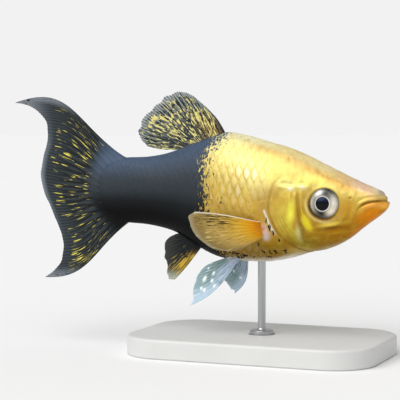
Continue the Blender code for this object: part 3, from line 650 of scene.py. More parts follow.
def unwrapTurn(share):  # the unwrap's width at a share round the body, with a margin
    return share * 0.98 + 0.01


def unwrapShare(x):  # the unwrap's height at x: the head gets more room, as it has more detail
    first, last = bodyX[0], bodyX[-1]
    return np.interp(x, (first - 1, 9.5, last + 1), (0.01, 0.42, 0.99))


def bareness(x, z):  # 0 under the scales, 1 on the bare head, by the pectoral fin's base and the streak
    pad = np.hypot(x - head["finPad"][0], z - head["finPad"][1])
    streak = np.abs(lineDistance(x, z, paint["streak"])[0])
    gaps = ((x, skin["bareFrom"]), (pad, skin["barePad"]), (streak, skin["bareStreak"]))
    return np.max([smoothStep(gap, *limits) for gap, limits in gaps], 0)


def roundedEnd(ring, way, reach):  # ever smaller copies of an end ring, each set further out
    turn = np.linspace(0, math.pi / 2, skin["endRings"] + 2)[1:-1, None, None]
    centre = ring.mean(0)
    return centre + (ring - centre) * np.cos(turn) + np.array([way, 0, 0]) * reach * np.sin(turn)


def makeSkin(material):  # the body's surface with the head's relief, lowered under the scales, ends rounded
    x = [bodyX[0]]
    while x[-1] < skin["to"]:
        x.append(x[-1] + float(np.interp(x[-1], *np.array(skin["steps"]).T)))
    x = np.array(x)
    around = skin["around"]
    share = np.arange(around) / around
    rings = onBody(x[:, None] + 0 * share, share[None, :] + 0 * x[:, None])
    thick = smoothStep(x, *skin["stemTaperFrom"])
    rings[..., 1] *= (skin["stemTaper"] + (1 - skin["stemTaper"]) * thick)[:, None]
    stemEnd = roundedEnd(rings[0], -1, skin["ends"][0])[::-1]
    rings = np.concatenate([stemEnd, rings, roundedEnd(rings[-1], 1, skin["ends"][1])])
    upper = smoothStep(rings[..., 2], -0.55, -0.05) * smoothStep(rings[..., 0], 33.0, 34.4)
    rings[..., 0] -= skin["underbite"] * upper
    normals = outward(rings)
    px, py, pz = np.moveaxis(rings, -1, 0)
    lift = headRelief(px, py, pz) - skin["inset"] * (1 - bareness(px, pz))
    lift += skin["waviness"] * (cloud(rings, 2.4, 3) - 0.5)
    rings = rings + normals * lift[..., None]
    poles = np.stack([rings[0].mean(0), rings[-1].mean(0)])
    poles[0, 0] -= skin["stemPole"]
    points = np.concatenate([rings.reshape(-1, 3), poles])

    faces = turnedFaces(len(rings), around)
    corners = gridFaces(len(rings), around, closed=True)[1]
    heights = unwrapShare(np.maximum.accumulate(rings[..., 0].mean(1)))
    uv = [np.stack([unwrapTurn(corners[..., 1] / around), heights[corners[..., 0]]], -1)]
    j = np.arange(around)
    for fan, level, pole in ((0, heights[0], 0.0), (1, heights[-1], 1.0)):
        a, b = (j + fan) / around, (j + 1 - fan) / around
        u = unwrapTurn(np.stack([a, b, (a + b) / 2], 1))
        uv.append(np.stack([u, np.stack([level + 0 * a, level + 0 * a, pole + 0 * a], 1)], -1))
    gold, rear, border = markingsAndPaintedLight(*points.T)
    none = np.zeros(len(points))
    values = {"pigmentAndPaintedLight": gold, "rear": rear, "border": border, "scaleHighlight": none, "rim": none,
              "scalePlace": np.zeros((len(points), 3))}
    piece = addPiece("skin", onSpine(points), faces, material, uv, values)
    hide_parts("head", "upper_jaw", "lower_jaw", "gill_cover_right", "gill_cover_left", "trunk",
                "tail_stem")
    return piece


makeSkin(hideMaterial("wet_bare_hide", 0.09))
print("skin done")


# Scales: flat closed discs, each with its front under the ones ahead and its rear edge free

scales = {
    "rows": 16,                # scales round the body in each column; the next column is half a row on
    "pitch": ((-27.5, 0.50), (-18, 0.62), (-5, 0.80), (5, 0.88), (22, 0.86)),  # x, mm between columns
    "from": -26.2,
    "to": 12.6,
    "napeFrom": (14, 5.6, -0.35),  # over this line, by x, height and slope, they run on to the nape
    "flankTo": 13.0,           # x to which they come up to the gill cover's edge
    "wholeTo": 9.0,            # x to which they go all the way round
    "gillFree": 0.5,           # mm behind the gill cover with no scales
    "padFree": 2.0,            # mm round the base of the pectoral fin with no scales
    "streakFree": 1.3,         # mm beside the pale streak with no scales
    "long": 2.05,              # half length in columns
    "tall": 0.575,             # half height in rows
    "front": -0.08,            # mm under the skin's outline at the front edge
    "rear": 0.040,             # mm over it at the free edge
    "dome": 0.03,              # mm the middle rises
    "tilt": 0.012,             # mm one side rises over the other, by chance
    "chance": (0.03, 0.02, 0.06),  # by chance: share of length, share of height, mm round the body
    "thick": 0.02,
    "sink": 0.12,              # mm they go down where the skin is bare, so that they run out under it
    "smoothFrom": (-1.5, -4.5),  # x over which the rear becomes nearly smooth
    "spokes": 14,
    "rings": (0.965, 1.0),     # shares of the half length
    "underRing": 0.98,         # the same, for the underside
    "patch": 0.0015,           # half size of a scale's patch on the unwrap
    "seed": 11,
    # where the scales stand out: x, z, half length, half height
    "clear": (6.8, 2.4, 5.0, 5.2),
    # where their centres carry a pale painted highlight: x, z, half length, half height, strength
    "highlightPatches": ((7.8, 4.5, 3.1, 1.3, 0.74), (6.6, 0.4, 2.8, 1.4, 0.42), (4.0, 2.4, 5.0, 3.0, 0.22)),
}


def scaleRoots():  # x and share round the body of each scale, and the spacing there
    columns = [scales["from"]]
    while columns[-1] < scales["to"]:
        columns.append(columns[-1] + float(smoothLine(columns[-1], scales["pitch"])))
    columns = np.array(columns)
    rows = np.arange(scales["rows"])
    x = np.repeat(columns[:, None], len(rows), 1)
    share = (rows[None, :] + 0.5 * (np.arange(1, len(columns) + 1) % 2)[:, None]) / len(rows)
    pitch = np.repeat(smoothLine(columns, scales["pitch"])[:, None], len(rows), 1)
    z = onBody(x, share)[..., 2]
    gill = lineDistance(x, z, head["gillEdge"])[0]
    napeX, napeHeight, napeSlope = scales["napeFrom"]
    nape = (z > napeHeight + napeSlope * (x - napeX)) & (x < scales["to"])
    keep = ((gill < -scales["gillFree"]) & (x < scales["flankTo"])) | nape | (x < scales["wholeTo"])
    keep &= np.hypot(x - head["finPad"][0], z - head["finPad"][1]) > scales["padFree"]
    keep &= np.abs(lineDistance(x, z, paint["streak"])[0]) > scales["streakFree"]
    return x[keep], share[keep], pitch[keep]


def oneScale():  # along, across and depth under its surface of one scale's points, and its faces
    spokes, count = scales["spokes"], len(scales["rings"])
    turn = turns(spokes)
    turn = turn - 0.45 * np.sin(turn)  # spokes lie closer on the free edge
    radius = np.concatenate([[0], np.repeat(scales["rings"], spokes), np.full(spokes, scales["underRing"])])
    angle = np.concatenate([[0], np.tile(turn, count + 1)])
    under = np.concatenate([np.zeros(1 + count * spokes), np.ones(spokes)])
    s = np.arange(spokes)
    n = (s + 1) % spokes
    quads = np.concatenate([np.stack([1 + b * spokes + s, 1 + (b + 1) * spokes + s, 1 + (b + 1) * spokes + n,
                                      1 + b * spokes + n], 1) for b in range(count)])
    fans = np.stack([0 * s, 1 + s, 1 + n], 1)
    back = len(radius) - 1 - s[None, :]  # the underside is one flat face
    depth = under + 0.5 * (radius == 1)
    return radius * np.cos(angle), radius * np.sin(angle), depth, (quads, fans, back)


def makeScales(material):  # the scale laid at every root, tipped up towards its free edge
    rootX, rootShare, pitch = scaleRoots()
    high = onBody(rootX, rootShare)[:, 2]
    girth = np.interp(rootX, bodyX, bodyGirth)
    jitter = np.random.default_rng(scales["seed"]).normal(0, 1, (4, len(rootX)))
    along, across, depth, shapes = oneScale()
    longer, taller, shifted = scales["chance"]
    long = pitch * scales["long"] * (1 + longer * jitter[0])
    tall = girth / scales["rows"] * scales["tall"] * (1 + taller * jitter[1])
    x = rootX[:, None] - along * long[:, None]
    share = rootShare[:, None] + (across * tall[:, None] + shifted * jitter[2][:, None]) / girth[:, None]

    dark = smoothStep(rootX, *scales["smoothFrom"])[:, None]
    faint = 1 - patchStrength(rootX, high, scales["clear"])[:, None]
    rearEdge = scales["rear"] * (1 - 0.85 * dark) * (1 - 0.85 * faint)
    frontEdge = scales["front"] * (1 - 0.7 * faint)
    rise = frontEdge + (rearEdge - frontEdge) * (along + 1) / 2
    dome = scales["dome"] * (1 - dark) * (1 - 0.8 * faint) * (1 - across ** 2) * (1 - along ** 2)
    tilt = scales["tilt"] * jitter[3][:, None] * across * (1 - dark) * (1 - 0.7 * faint)
    small = np.minimum(1, pitch / scales["pitch"][-1][1])[:, None]
    lift = (rise + dome + tilt) * small - scales["thick"] * depth * small
    lift -= scales["sink"] * bareness(x, onBody(x, share)[..., 2])
    points = onBody(x, share, lift).reshape(-1, 3)

    one = len(along)
    offset = (np.arange(len(rootX)) * one)[:, None, None]
    faces = [(f[None] + offset).reshape(-1, f.shape[1]) for f in shapes]
    spot = np.stack([unwrapTurn(rootShare[:, None] % 1) + across * scales["patch"],
                     unwrapShare(rootX)[:, None] + along * scales["patch"]], -1).reshape(-1, 2)

    gold, rear, border = markingsAndPaintedLight(*points.T)
    # how strong the painted highlight is on each scale
    shine = np.max([patch[4] * patchStrength(rootX, high, patch[:4]) for patch in scales["highlightPatches"]], 0)
    scaleHighlight = np.clip(0.07 + 0.62 * shine * (1 + 0.35 * jitter[3]), 0, 0.9)
    rim = (0.10 + 0.60 * shine) * (1 - 0.85 * faint[:, 0])
    place = np.stack([along, across, 0 * along], 1)
    values = {"pigmentAndPaintedLight": gold, "rear": rear, "border": border, "scaleHighlight": np.repeat(scaleHighlight, one),
              "rim": np.repeat(rim, one), "scalePlace": np.tile(place, (len(rootX), 1))}
    piece = addPiece("scales", onSpine(points), faces, material, [spot[f] for f in faces], values)
    print("scales done:", len(rootX))
    return piece


makeScales(hideMaterial("wet_scale_hide", 0.09))


# Fins: two sheets with ray ridges between them, closed round the rim

finBuild = {
    "rootDepth": 1.3,          # mm the fin runs into the body
    "membrane": 0.055,         # half thickness between the rays, mm
    "rayHalf": 0.15,           # half thickness added by a ray at its root
    "rayWidth": 0.16,          # share of the ray spacing
    "fleshy": 0.42,            # half thickness added where the fin meets the body
}


def rayRidge(place, t, splits):  # 1 on a ray; each ray forks twice, so its distance folds twice
    off = np.abs(place - np.round(place))
    first = 0.25 * smoothStep(t, splits[0], splits[0] + 0.3)
    second = 0.125 * smoothStep(t, splits[1], splits[1] + 0.3)
    gap = np.abs(np.abs(off - first) - second)
    return bell(gap, finBuild["rayWidth"] * (1 - 0.5 * smoothStep(t, 0.2, 0.9)))


def makeFin(name, fin, sideways, paintFin, material):
    # Rays run from the root line to the edge line, bowed by a half sine. Each point's half thickness is
    # the membrane's, plus the ray's ridge, plus flesh that dies away from the root.
    columns = (fin["rays"] - 1) * fin["fine"] + 1
    share, t = np.linspace(0, 1, columns)[:, None], np.linspace(0, 1, fin["rows"] + 1)[None, :]
    root, edge = through(fin["root"], share[:, 0]), through(fin["edge"], share[:, 0])
    bow = smoothLine(share, fin["bow"])
    length = np.linalg.norm(edge - root, axis=1)[:, None]
    way = (edge - root) / length
    across = np.stack([-way[:, 1], way[:, 0]], 1)
    root = root - way * finBuild["rootDepth"]
    length = length + finBuild["rootDepth"]
    place = share * (fin["rays"] - 1)
    ragged = cloud(np.stack([place[:, 0] * 1.7, 0 * place[:, 0]], 1), 1.0, fin["seed"]) - 0.5
    ends = rayRidge(place, 1 + 0 * place, fin["splits"]) - 1
    reach = 1 + fin["fray"] * (0.5 * ends + 1.6 * ragged[:, None])
    t = t * reach
    bowed = (bow * np.sin(math.pi * np.clip(t, 0, 1) ** fin["lateness"]))[..., None]
    flat = root[:, None] + way[:, None] * (t * length)[..., None] + across[:, None] * bowed
    x, z = flat[..., 0], flat[..., 1]
    out = t * length - finBuild["rootDepth"]
    ridge = rayRidge(place, t, fin["splits"])
    half = finBuild["membrane"] + finBuild["rayHalf"] * fin["rayScale"] * (1 - 0.65 * t) * ridge
    half = half + finBuild["fleshy"] * fin["fleshyScale"] * np.exp(-np.maximum(out, 0) / fin["fleshyLength"])
    half = half * (1 - 0.45 * smoothStep(t / reach, 0.93, 1))
    middle = sideways(x, z)
    sheets = np.stack([np.stack([x, middle - half, z], -1), np.stack([x, middle + half, z], -1)])
    points = sheets.reshape(-1, 3)

    rows = t.shape[1]
    faces, corners = gridFaces(columns, rows, closed=False)
    other = columns * rows
    i, j = np.arange(columns - 1), np.arange(rows - 1)
    rims = []
    for a, b in ((i * rows, (i + 1) * rows), (i * rows + rows - 1, (i + 1) * rows + rows - 1),
                 (j, j + 1), ((columns - 1) * rows + j, (columns - 1) * rows + j + 1)):
        rims.append(np.stack([a, b, b + other, a + other], 1))
    flips = (False, True, True, False)
    rims = [r[:, ::-1] if flip else r for r, flip in zip(rims, flips)]
    low, size = flat.reshape(-1, 2).min(0), np.ptp(flat.reshape(-1, 2), axis=0)
    pelt = (flat.reshape(-1, 2) - low) / size.max()
    pelt = pelt * 0.48 + 0.01
    beside = np.array([0.0, 0.5]) if size[0] > size[1] else np.array([0.5, 0.0])
    pelt = np.concatenate([pelt, pelt + beside])  # the second sheet has the unwrap's other half
    allFaces = [faces[:, ::-1], faces + other, *rims]
    uv = [pelt[faces[:, ::-1]], pelt[faces + other], *(pelt[r % other] for r in rims)]

    colour, dash, ink, opacity = paintFin(share + 0 * t, t, x, z, ridge)
    along = np.stack([place + 0 * t, out, middle], -1)
    values = {"pigmentAndPaintedLight": colour, "dash": dash, "ink": ink, "opacity": opacity, "finPlace": along}
    for key, value in values.items():  # both sheets have the same values
        parts = () if value.ndim == 2 else (3,)
        values[key] = np.concatenate([value.reshape(other, *parts)] * 2)
    piece = addPiece(name, onSpine(points), allFaces, material, uv, values)
    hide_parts(fin["node"])
    return piece


def finMaterial(name, look):
    # Thin wet membrane between bony rays: see-through where thin, spotted and dashed along the rays.
    # The dash and ink sizes are across (in ray spacings) and along (in mm).
    material, tree = newMaterial(name)
    place = attribute(tree, "finPlace", "Vector")
    layers = []
    for key, shift in (("dash", 4), ("ink", 3)):
        wide, long = look[key + "Size"]
        spread = stretched(tree, place, (1 / wide, 1 / long, 0.7), (shift, 0, 0))
        grain = addNode(tree, "TexNoise", {"Vector": spread, "Scale": 1.0, "Roughness": 0.55}).outputs[0]
        level = remap(tree, attribute(tree, key), target=(0.80, 0.36))
        layers.append(remap(tree, reckon(tree, "SUBTRACT", grain, level), (-0.015, 0.035)))
    colour = mixed(tree, layers[0], attribute(tree, "pigmentAndPaintedLight", "Color"), look["dashColour"])
    colour = mixed(tree, layers[1], colour, look["inkColour"])
    marks = reckon(tree, "MULTIPLY", reckon(tree, "MAXIMUM", *layers), look["markOpacity"])
    alpha = reckon(tree, "MAXIMUM", attribute(tree, "opacity"), marks)
    joints = stretched(tree, place, (0.0, 2.2, 0.0))
    joints = addNode(tree, "TexWave", {"Vector": joints, "Scale": 1.0, "Distortion": 1.5},
                     bands_direction="Y").outputs["Fac"]
    finishMaterial(tree, {"Base Color": colour, "Roughness": look["roughness"], "Alpha": alpha,
                          "Normal": bumped(tree, joints, 0.35, 0.02), "Coat Weight": 0.08,
                          "Coat Roughness": 0.25, "IOR": 1.38, "Specular IOR Level": 0.15})
    return material


def midline(x, z):  # fins of the middle plane sway as a slight sine of the height, away from the body
    return 0.35 * np.sin(0.26 * z) * smoothStep(np.abs(z), 6, 12)


tailFin = {
    "node": "tail_fin", "rays": 17, "fine": 12, "rows": 100, "lateness": 1.8, "fray": 0.007, "seed": 5,
    "splits": (0.18, 0.48), "rayScale": 0.65, "fleshyScale": 2.2, "fleshyLength": 2.4,
    "root": ((-21.8, 7.3), (-25.2, 6.2), (-27.4, 3.4), (-28.0, 0.7), (-27.4, -2.0), (-25.0, -4.5),
             (-21.0, -5.7)),
    "edge": ((-46.6, 19.0), (-43.7, 18.5), (-40.7, 16.6), (-39.2, 13.8), (-39.3, 11.0), (-40.3, 7.6),
             (-40.8, 4.0), (-40.1, 0.3), (-38.6, -3.2), (-36.9, -7.1), (-35.8, -10.6), (-36.3, -14.0),
             (-38.3, -16.7), (-40.4, -18.1)),
    "bow": ((0.0, -4.7), (0.08, -3.2), (0.25, -1.2), (0.45, 0.0), (0.7, 0.7), (1.0, 2.8)),
    "look": {"dashSize": (0.11, 3.6), "dashColour": "#f1e25c", "inkSize": (0.3, 1.2), "inkColour": "#0c0e10",
             "markOpacity": 0.97, "roughness": 0.42},
}


def paintTail(share, t, x, z, ridge):  # charcoal, darker on the rays, pale tips, yellow dashes between
    # the root takes the rear's colours by height, with their painted sheen above
    root = rampColour((z + 6) / 13, paint["rear"])
    colour = rampColour(t, ((0, "#2b3034"), (0.2, "#343a3e"), (0.6, "#363c3e"), (1.0, "#424a4f")))
    rayed = (0.95 - 0.25 * smoothStep(t, 0.3, 0.9)) * ridge * smoothStep(t, 0.05, 0.2)
    colour = tint(colour, "#0b0d0f", rayed)
    colour = blend(colour, root, smoothStep(t, 0.34, 0.12))
    tips = np.maximum(smoothStep(-x, 37.5, 45.0) * smoothStep(z, 13.5, 17.5), smoothStep(-z, 15.3, 18.0))
    tips = np.maximum(tips, 0.9 * smoothStep(share, 0.09, 0.02) * smoothStep(t, 0.5, 0.75))
    colour = tint(colour, "#949ea8", tips * (0.80 - 0.50 * ridge))
    bulge = bell(share - 0.45, 0.2) * smoothStep(t, 0.9, 1.0)
    colour = tint(colour, "#8694a0", 0.6 * bulge)
    patch = cloud(np.stack([share * 13, t * 4], -1), 1.0, 2)
    dash = smoothStep(t, 0.14, 0.3) * smoothStep(t, 0.97, 0.84) * (0.45 + 0.5 * patch)
    dash = dash * (1 - tips) * smoothStep(share, 0.0, 0.07) * smoothStep(share, 1.0, 0.96)
    opacity = 0.985 - 0.22 * tips - 0.22 * bulge - 0.12 * smoothStep(t, 0.9, 1) * (1 - ridge)
    return colour, 0.56 * dash, 0.15 + 0.35 * tips, opacity


dorsalFin = {
    "node": "dorsal_fin", "rays": 12, "fine": 14, "rows": 70, "lateness": 1.3, "fray": 0.038, "seed": 8,
    "splits": (0.35, 0.62), "rayScale": 1.0, "fleshyScale": 0.8, "fleshyLength": 1.5,
    "root": ((-0.3, 12.9), (-3.5, 11.8), (-7.0, 10.6), (-10.4, 9.3)),
    "edge": ((-2.6, 16.7), (-4.5, 18.5), (-7.0, 20.3), (-10.2, 21.4), (-13.8, 19.3), (-17.4, 15.9),
             (-18.9, 13.4), (-18.4, 11.2), (-17.0, 9.9)),
    "bow": ((0.0, -0.3), (0.4, -0.2), (1.0, 0.3)),
    "look": {"dashSize": (0.22, 1.3), "dashColour": "#e6da8a", "inkSize": (0.17, 1.1), "inkColour": "#23292e",
             "markOpacity": 0.92, "roughness": 0.4},
}


def paintDorsal(share, t, x, z, ridge):  # dark at the root, clearer at the edge, with straw blotches
    clear = smoothStep(t, 0.82, 1.05) * (0.35 + 0.65 * smoothStep(share, 0.12, 0.5))
    colour = rampColour(t, ((0, "#282e32"), (0.40, "#434a4c"), (0.65, "#747a70"), (0.88, "#a2aaa2"),
                            (1.0, "#bac2c2")))
    front = smoothStep(share, 0.50, 0.22) * smoothStep(t, 0.75, 0.4)
    colour = tint(colour, "#97762a", 0.75 * front)
    colour = tint(colour, "#24292d", 0.80 * ridge * smoothStep(t, 0.45, 0.7))
    colour = tint(colour, "#3c4043", 0.85 * smoothStep(share, 0.12, 0.0))
    patch = smoothStep(cloud(np.stack([share * 10, t * 4.2], -1), 1.0, 9), 0.25, 0.75)
    dash = (0.49 + 0.20 * patch + 0.13 * front) * smoothStep(t, 1.02, 0.86) * smoothStep(t, 0.0, 0.06)
    ink = 0.27 + 0.20 * (1 - patch) + 0.42 * ridge + 0.08 * front
    opacity = 0.95 - 0.52 * clear + 0.45 * ridge * clear
    return colour, dash * smoothStep(share, 0.0, 0.1), ink * (1 - 0.4 * clear), np.clip(opacity, 0, 1)


analFin = {
    "node": "anal_fin", "rays": 8, "fine": 14, "rows": 60, "lateness": 1.3, "fray": 0.03, "seed": 13,
    "splits": (0.35, 0.65), "rayScale": 0.9, "fleshyScale": 0.9, "fleshyLength": 1.5,
    "root": ((-5.3, -10.8), (-7.4, -9.6), (-9.6, -8.2)),
    "edge": ((-11.2, -17.8), (-12.6, -17.6), (-12.8, -15.3), (-13.3, -12.2), (-13.2, -10.3), (-12.2, -8.9),
             (-11.0, -8.3)),
    "bow": ((0.0, 0.2), (0.5, 0.0), (1.0, -0.2)),
    "look": {"dashSize": (0.14, 3.2), "dashColour": "#d3b145", "inkSize": (0.20, 2.2), "inkColour": "#15181a",
             "markOpacity": 0.95, "roughness": 0.4},
}


def paintAnal(share, t, x, z, ridge):  # nearly black, with a gold front and a pale tip
    tip = smoothStep(-z, 15.0, 17.4)
    colour = rampColour(t, ((0, "#0f1112"), (0.5, "#1e2122"), (1.0, "#3b3e3a")))
    colour = tint(colour, "#8d6f1f", 0.8 * smoothStep(share, 0.30, 0.05) * smoothStep(t, 0.15, 0.4))
    colour = tint(colour, "#a3ae96", 0.85 * tip)
    dash = smoothStep(share, 0.7, 0.1) * smoothStep(t, 0.12, 0.4) * (1 - 0.6 * tip)
    opacity = 0.98 - 0.35 * tip - 0.15 * smoothStep(t, 0.92, 1)
    return colour, 0.66 * dash, 0.48 * smoothStep(t, 1.0, 0.3), opacity


pectoralFin = {
    "rays": 12, "fine": 12, "rows": 84, "lateness": 1.3, "fray": 0.007, "seed": 21,
    "splits": (0.35, 0.6), "rayScale": 0.75, "fleshyScale": 0.9, "fleshyLength": 1.5,
    "root": ((10.6, -4.9), (11.0, -6.3), (10.4, -7.7)),
    "edge": ((-2.6, -2.8), (-3.9, -3.8), (-3.6, -5.4), (-2.3, -7.6), (-0.7, -9.0), (1.4, -10.2), (4.0, -10.6),
             (6.3, -10.2), (8.2, -9.3)),
    "bow": ((0.0, -0.4), (0.5, 0.0), (1.0, 0.1)),
    "look": {"dashSize": (0.13, 3.0), "dashColour": "#e3cb80", "inkSize": (0.11, 1.9), "inkColour": "#3a2d10",
             "markOpacity": 0.9, "roughness": 0.34},
}


def paintPectoral(share, t, x, z, ridge):  # orange root, amber to clear, a white leading edge that is a painted highlight
    colour = rampColour(t, ((0, "#c9826a"), (0.10, "#d07806"), (0.22, "#da9208"), (0.34, "#d6a322"),
                            (0.48, "#d2a83e"), (0.70, "#c8a85c"), (0.92, "#97814c"), (1.0, "#b4a988")))
    colour = tint(colour, "#5f4408", 0.28 * ridge * smoothStep(t, 0.2, 0.45))
    # a painted highlight along the leading edge
    margin = smoothStep(share, 0.035, 0.0)
    colour = tint(colour, "#f2efdf", 0.9 * margin)
    ink = 0.80 * smoothStep(share, 0.42, 0.06) * bell(t - 0.62, 0.34) + 0.58 * bell(t - 0.64, 0.34)
    ink = ink * (1 - margin) * smoothStep(t, 0.2, 0.32)
    thin = 0.36 * smoothStep(t, 0.25, 0.9) * (0.6 + 0.4 * smoothStep(share, 0.3, 0.7))
    opacity = np.maximum(0.96 - thin + 0.14 * ridge * t, 0.9 * margin)
    return colour, 0.38 * smoothStep(t, 0.2, 0.5), 0.60 * ink, np.clip(opacity, 0, 1)


pelvicRight = {
    "node": "pelvic_fin_right", "rays": 7, "fine": 14, "rows": 70, "lateness": 1.3, "fray": 0.02, "seed": 31,
    "splits": (0.3, 0.6), "rayScale": 0.8, "fleshyScale": 0.8, "fleshyLength": 1.5,
    "root": ((3.7, -12.9), (2.2, -12.9), (0.6, -12.7)),
    "edge": ((-6.2, -22.5), (-5.6, -21.2), (-5.7, -19.4), (-5.3, -17.4), (-4.5, -15.6), (-3.4, -14.4),
             (-2.0, -13.6)),
    "bow": ((0.0, 1.3), (0.4, 0.5), (1.0, 0.0)),
    "look": {"dashSize": (0.16, 3.0), "dashColour": "#dceaf0", "inkSize": (0.14, 2.4), "inkColour": "#55706f",
             "markOpacity": 0.85, "roughness": 0.3},
}
pelvicLeft = {
    **pelvicRight, "node": "pelvic_fin_left", "seed": 37, "fray": 0.05,
    "root": ((3.9, -12.9), (2.6, -12.9), (1.2, -12.7)),
    "edge": ((0.9, -20.4), (0.2, -19.9), (-0.4, -19.2), (-0.9, -18.4), (-1.1, -17.6), (-1.1, -16.6),
             (-0.8, -15.4)),
    "bow": ((0.0, 1.3), (0.5, 0.5), (1.0, 0.0)),
}


# pale round spots on the pelvic fins: share across the fin, share along it, size
pelvicSpots = {
    "right": ((0.93, 0.88, 0.8), (0.72, 0.765, 0.7), (0.47, 0.575, 1.0), (0.455, 0.78, 1.2),
              (0.295, 0.62, 0.8), (0.14, 0.605, 0.7), (0.275, 0.84, 0.6), (0.205, 0.79, 0.7)),
    "left": ((0.55, 0.60, 1.0), (0.20, 0.62, 0.9), (0.72, 0.80, 0.5)),
}


def pelvicPaint(spots):  # the painter of one pelvic fin with its own spots
    def paintPelvic(share, t, x, z, ridge):
        colour = rampColour(t, ((0, "#cfc5c0"), (0.12, "#c6c2c6"), (0.24, "#7f9b99"), (0.55, "#618483"),
                                (0.8, "#6f9090"), (1.0, "#88a9b1")))
        between = 0.55 * smoothStep(share, 0.4, 0.75) * (1 - ridge) * smoothStep(t, 0.1, 0.3)
        colour = tint(colour, "#3f5f55", between)
        colour = tint(colour, "#b6c6e2", 0.75 * smoothStep(share, 0.70, 0.35) * smoothStep(t, 0.70, 0.35))
        colour = tint(colour, "#c6def4", 0.80 * smoothStep(share, 0.40, 0.10) * smoothStep(t, 0.30, 0.62))
        colour = tint(colour, "#cfe0e6", 0.28 * ridge * smoothStep(t, 0.1, 0.3))
        pale = np.zeros(t.shape)
        for at, along, size in spots:
            pale = np.maximum(pale, bell(share - at, 0.048 * size) * bell(t - along, 0.030 * size))
        colour = tint(colour, "#f4fffc", np.clip(1.7 * pale, 0, 0.95))
        opacity = 0.92 - 0.16 * smoothStep(t, 0.1, 0.6) + 0.15 * ridge + 0.3 * pale
        return colour, 0.34 * smoothStep(t, 0.2, 0.5), 0.50 * smoothStep(t, 0.9, 0.4), np.clip(opacity, 0, 1)
    return paintPelvic


def flank(side):  # the pectoral fin springs out of the flank at its root, then slants evenly outwards
    def place(x, z):
        out = np.maximum(-1.5, 10.6 - x)
        return side * (7.3 - 2.3 * np.exp(-out / 1.1) + 0.24 * out)
    return place


def underside(side):  # the pelvic fins spread outwards in step with the depth under the belly
    return lambda x, z: side * (1.9 + 0.24 * np.maximum(0, -12.5 - z))


middleFins = (
    ("tail", tailFin, paintTail, "charcoal_tail_membrane"),
    ("dorsal", dorsalFin, paintDorsal, "blotched_dorsal_membrane"),
    ("anal", analFin, paintAnal, "dark_anal_membrane"),
)
for name, fin, paintFin, coat in middleFins:
    makeFin(f"{name}_fin_rayed", fin, midline, paintFin, finMaterial(coat, fin["look"]))
goldMembrane = finMaterial("amber_pectoral_membrane", pectoralFin["look"])
paleMembrane = finMaterial("pale_pelvic_membrane", pelvicRight["look"])
for side, way in (("right", -1), ("left", 1)):
    paired = {**pectoralFin, "node": f"pectoral_fin_{side}"}
    makeFin(f"pectoral_fin_{side}_rayed", paired, flank(way), paintPectoral, goldMembrane)
    pelvic = pelvicRight if way < 0 else pelvicLeft
    spotted = pelvicPaint(pelvicSpots[side])
    makeFin(f"pelvic_fin_{side}_rayed", pelvic, underside(way), spotted, paleMembrane)
print("fins done")


# Eyes: a turned profile with a lens in the pupil, a thin pale ring, a silver iris and a dark rim

eye = {
    "place": (head["eye"][0], 5.02, head["eye"][1]),
    "turn": 10.0,              # degrees the eyes look forward
    "spokes": 96,
    # radius and height over the rim's plane, mm, from the middle of the lens to the back of the ball
    "profile": ((0.0, 0.98), (0.45, 0.95), (0.9, 0.86), (1.2, 0.76), (1.30, 0.71), (1.36, 0.70),
                (1.46, 0.73), (1.6, 0.71), (1.9, 0.62), (2.25, 0.47), (2.55, 0.29), (2.8, 0.07),
                (2.93, -0.15), (2.98, -0.45), (2.75, -1.2), (2.0, -2.05), (1.0, -2.5), (0.0, -2.6)),
    "pupil": 1.34,
    "ring": 1.46,
    "offset": (-0.22, 0.0),    # the pupil lies a little to the rear
    "rows": 90,
    # lights and shades of the iris: colour, strength, bearing and its width, radius and its width
    "patches": (
        ("#0e0903", 0.99, -1.68, 0.78, 2.05, 0.95),
        ("#3d3323", 0.75, -2.1, 0.6, 2.70, 0.30),
        # a painted highlight on the upper rear of the iris
        ("#ffffff", 0.95, 1.95, 0.30, 2.25, 0.42),
        ("#fbf1d8", 0.95, -0.75, 0.45, 2.15, 0.55),
        ("#f6f0e2", 0.90, 0.1, 0.55, 2.2, 0.6),
    ),
}


def eyeMaterial():
    # Wet eye under a clear cornea: black lens, silver iris of guanine plates, mirror-like gloss.
    material, tree = newMaterial("clear_coated_silver_eye")
    grain = noise(tree, objectPlace(tree), 0.35, 3.0)
    shade = remap(tree, grain, target=(0.60, 1.32))
    colour = mixed(tree, 1.0, attribute(tree, "pigmentAndPaintedLight", "Color"), shade, "MULTIPLY")
    rough = remap(tree, grain, target=(0.16, 0.3))
    finishMaterial(tree, {"Base Color": colour, "Metallic": attribute(tree, "shine"), "Roughness": rough,
                          "Coat Weight": 0.25, "Coat Roughness": 0.03, "IOR": 1.15})
    return material


def irisColour(radius, bearing):  # silver rings of a ramp over the radius, then the patches, then the ring
    iris = rampColour(radius, ((1.45, "#7d786b"), (1.7, "#8a8577"), (2.2, "#a5a091"), (2.5, "#bdb8a8"),
                               (2.66, "#5d5a50"), (2.76, "#a09b8c"), (2.88, "#837d6e"), (3.0, "#332d22")))
    iris = tint(iris, "#26282c", 0.92 * bell(bearing - 1.25, 0.62) * smoothStep(radius, 1.5, 1.9))
    for colour, strength, at, wide, middle, deep in eye["patches"]:
        iris = tint(iris, colour, strength * bell(bearing - at, wide) * bell(radius - middle, deep))
    iris = tint(iris, "#d9d4c4", 0.25 * bell(np.abs(bearing) - 3.1, 0.45) * bell(radius - 2.3, 0.5))
    return tint(iris, "#ffffff", 0.95 * bell(radius - eye["ring"], 0.06))


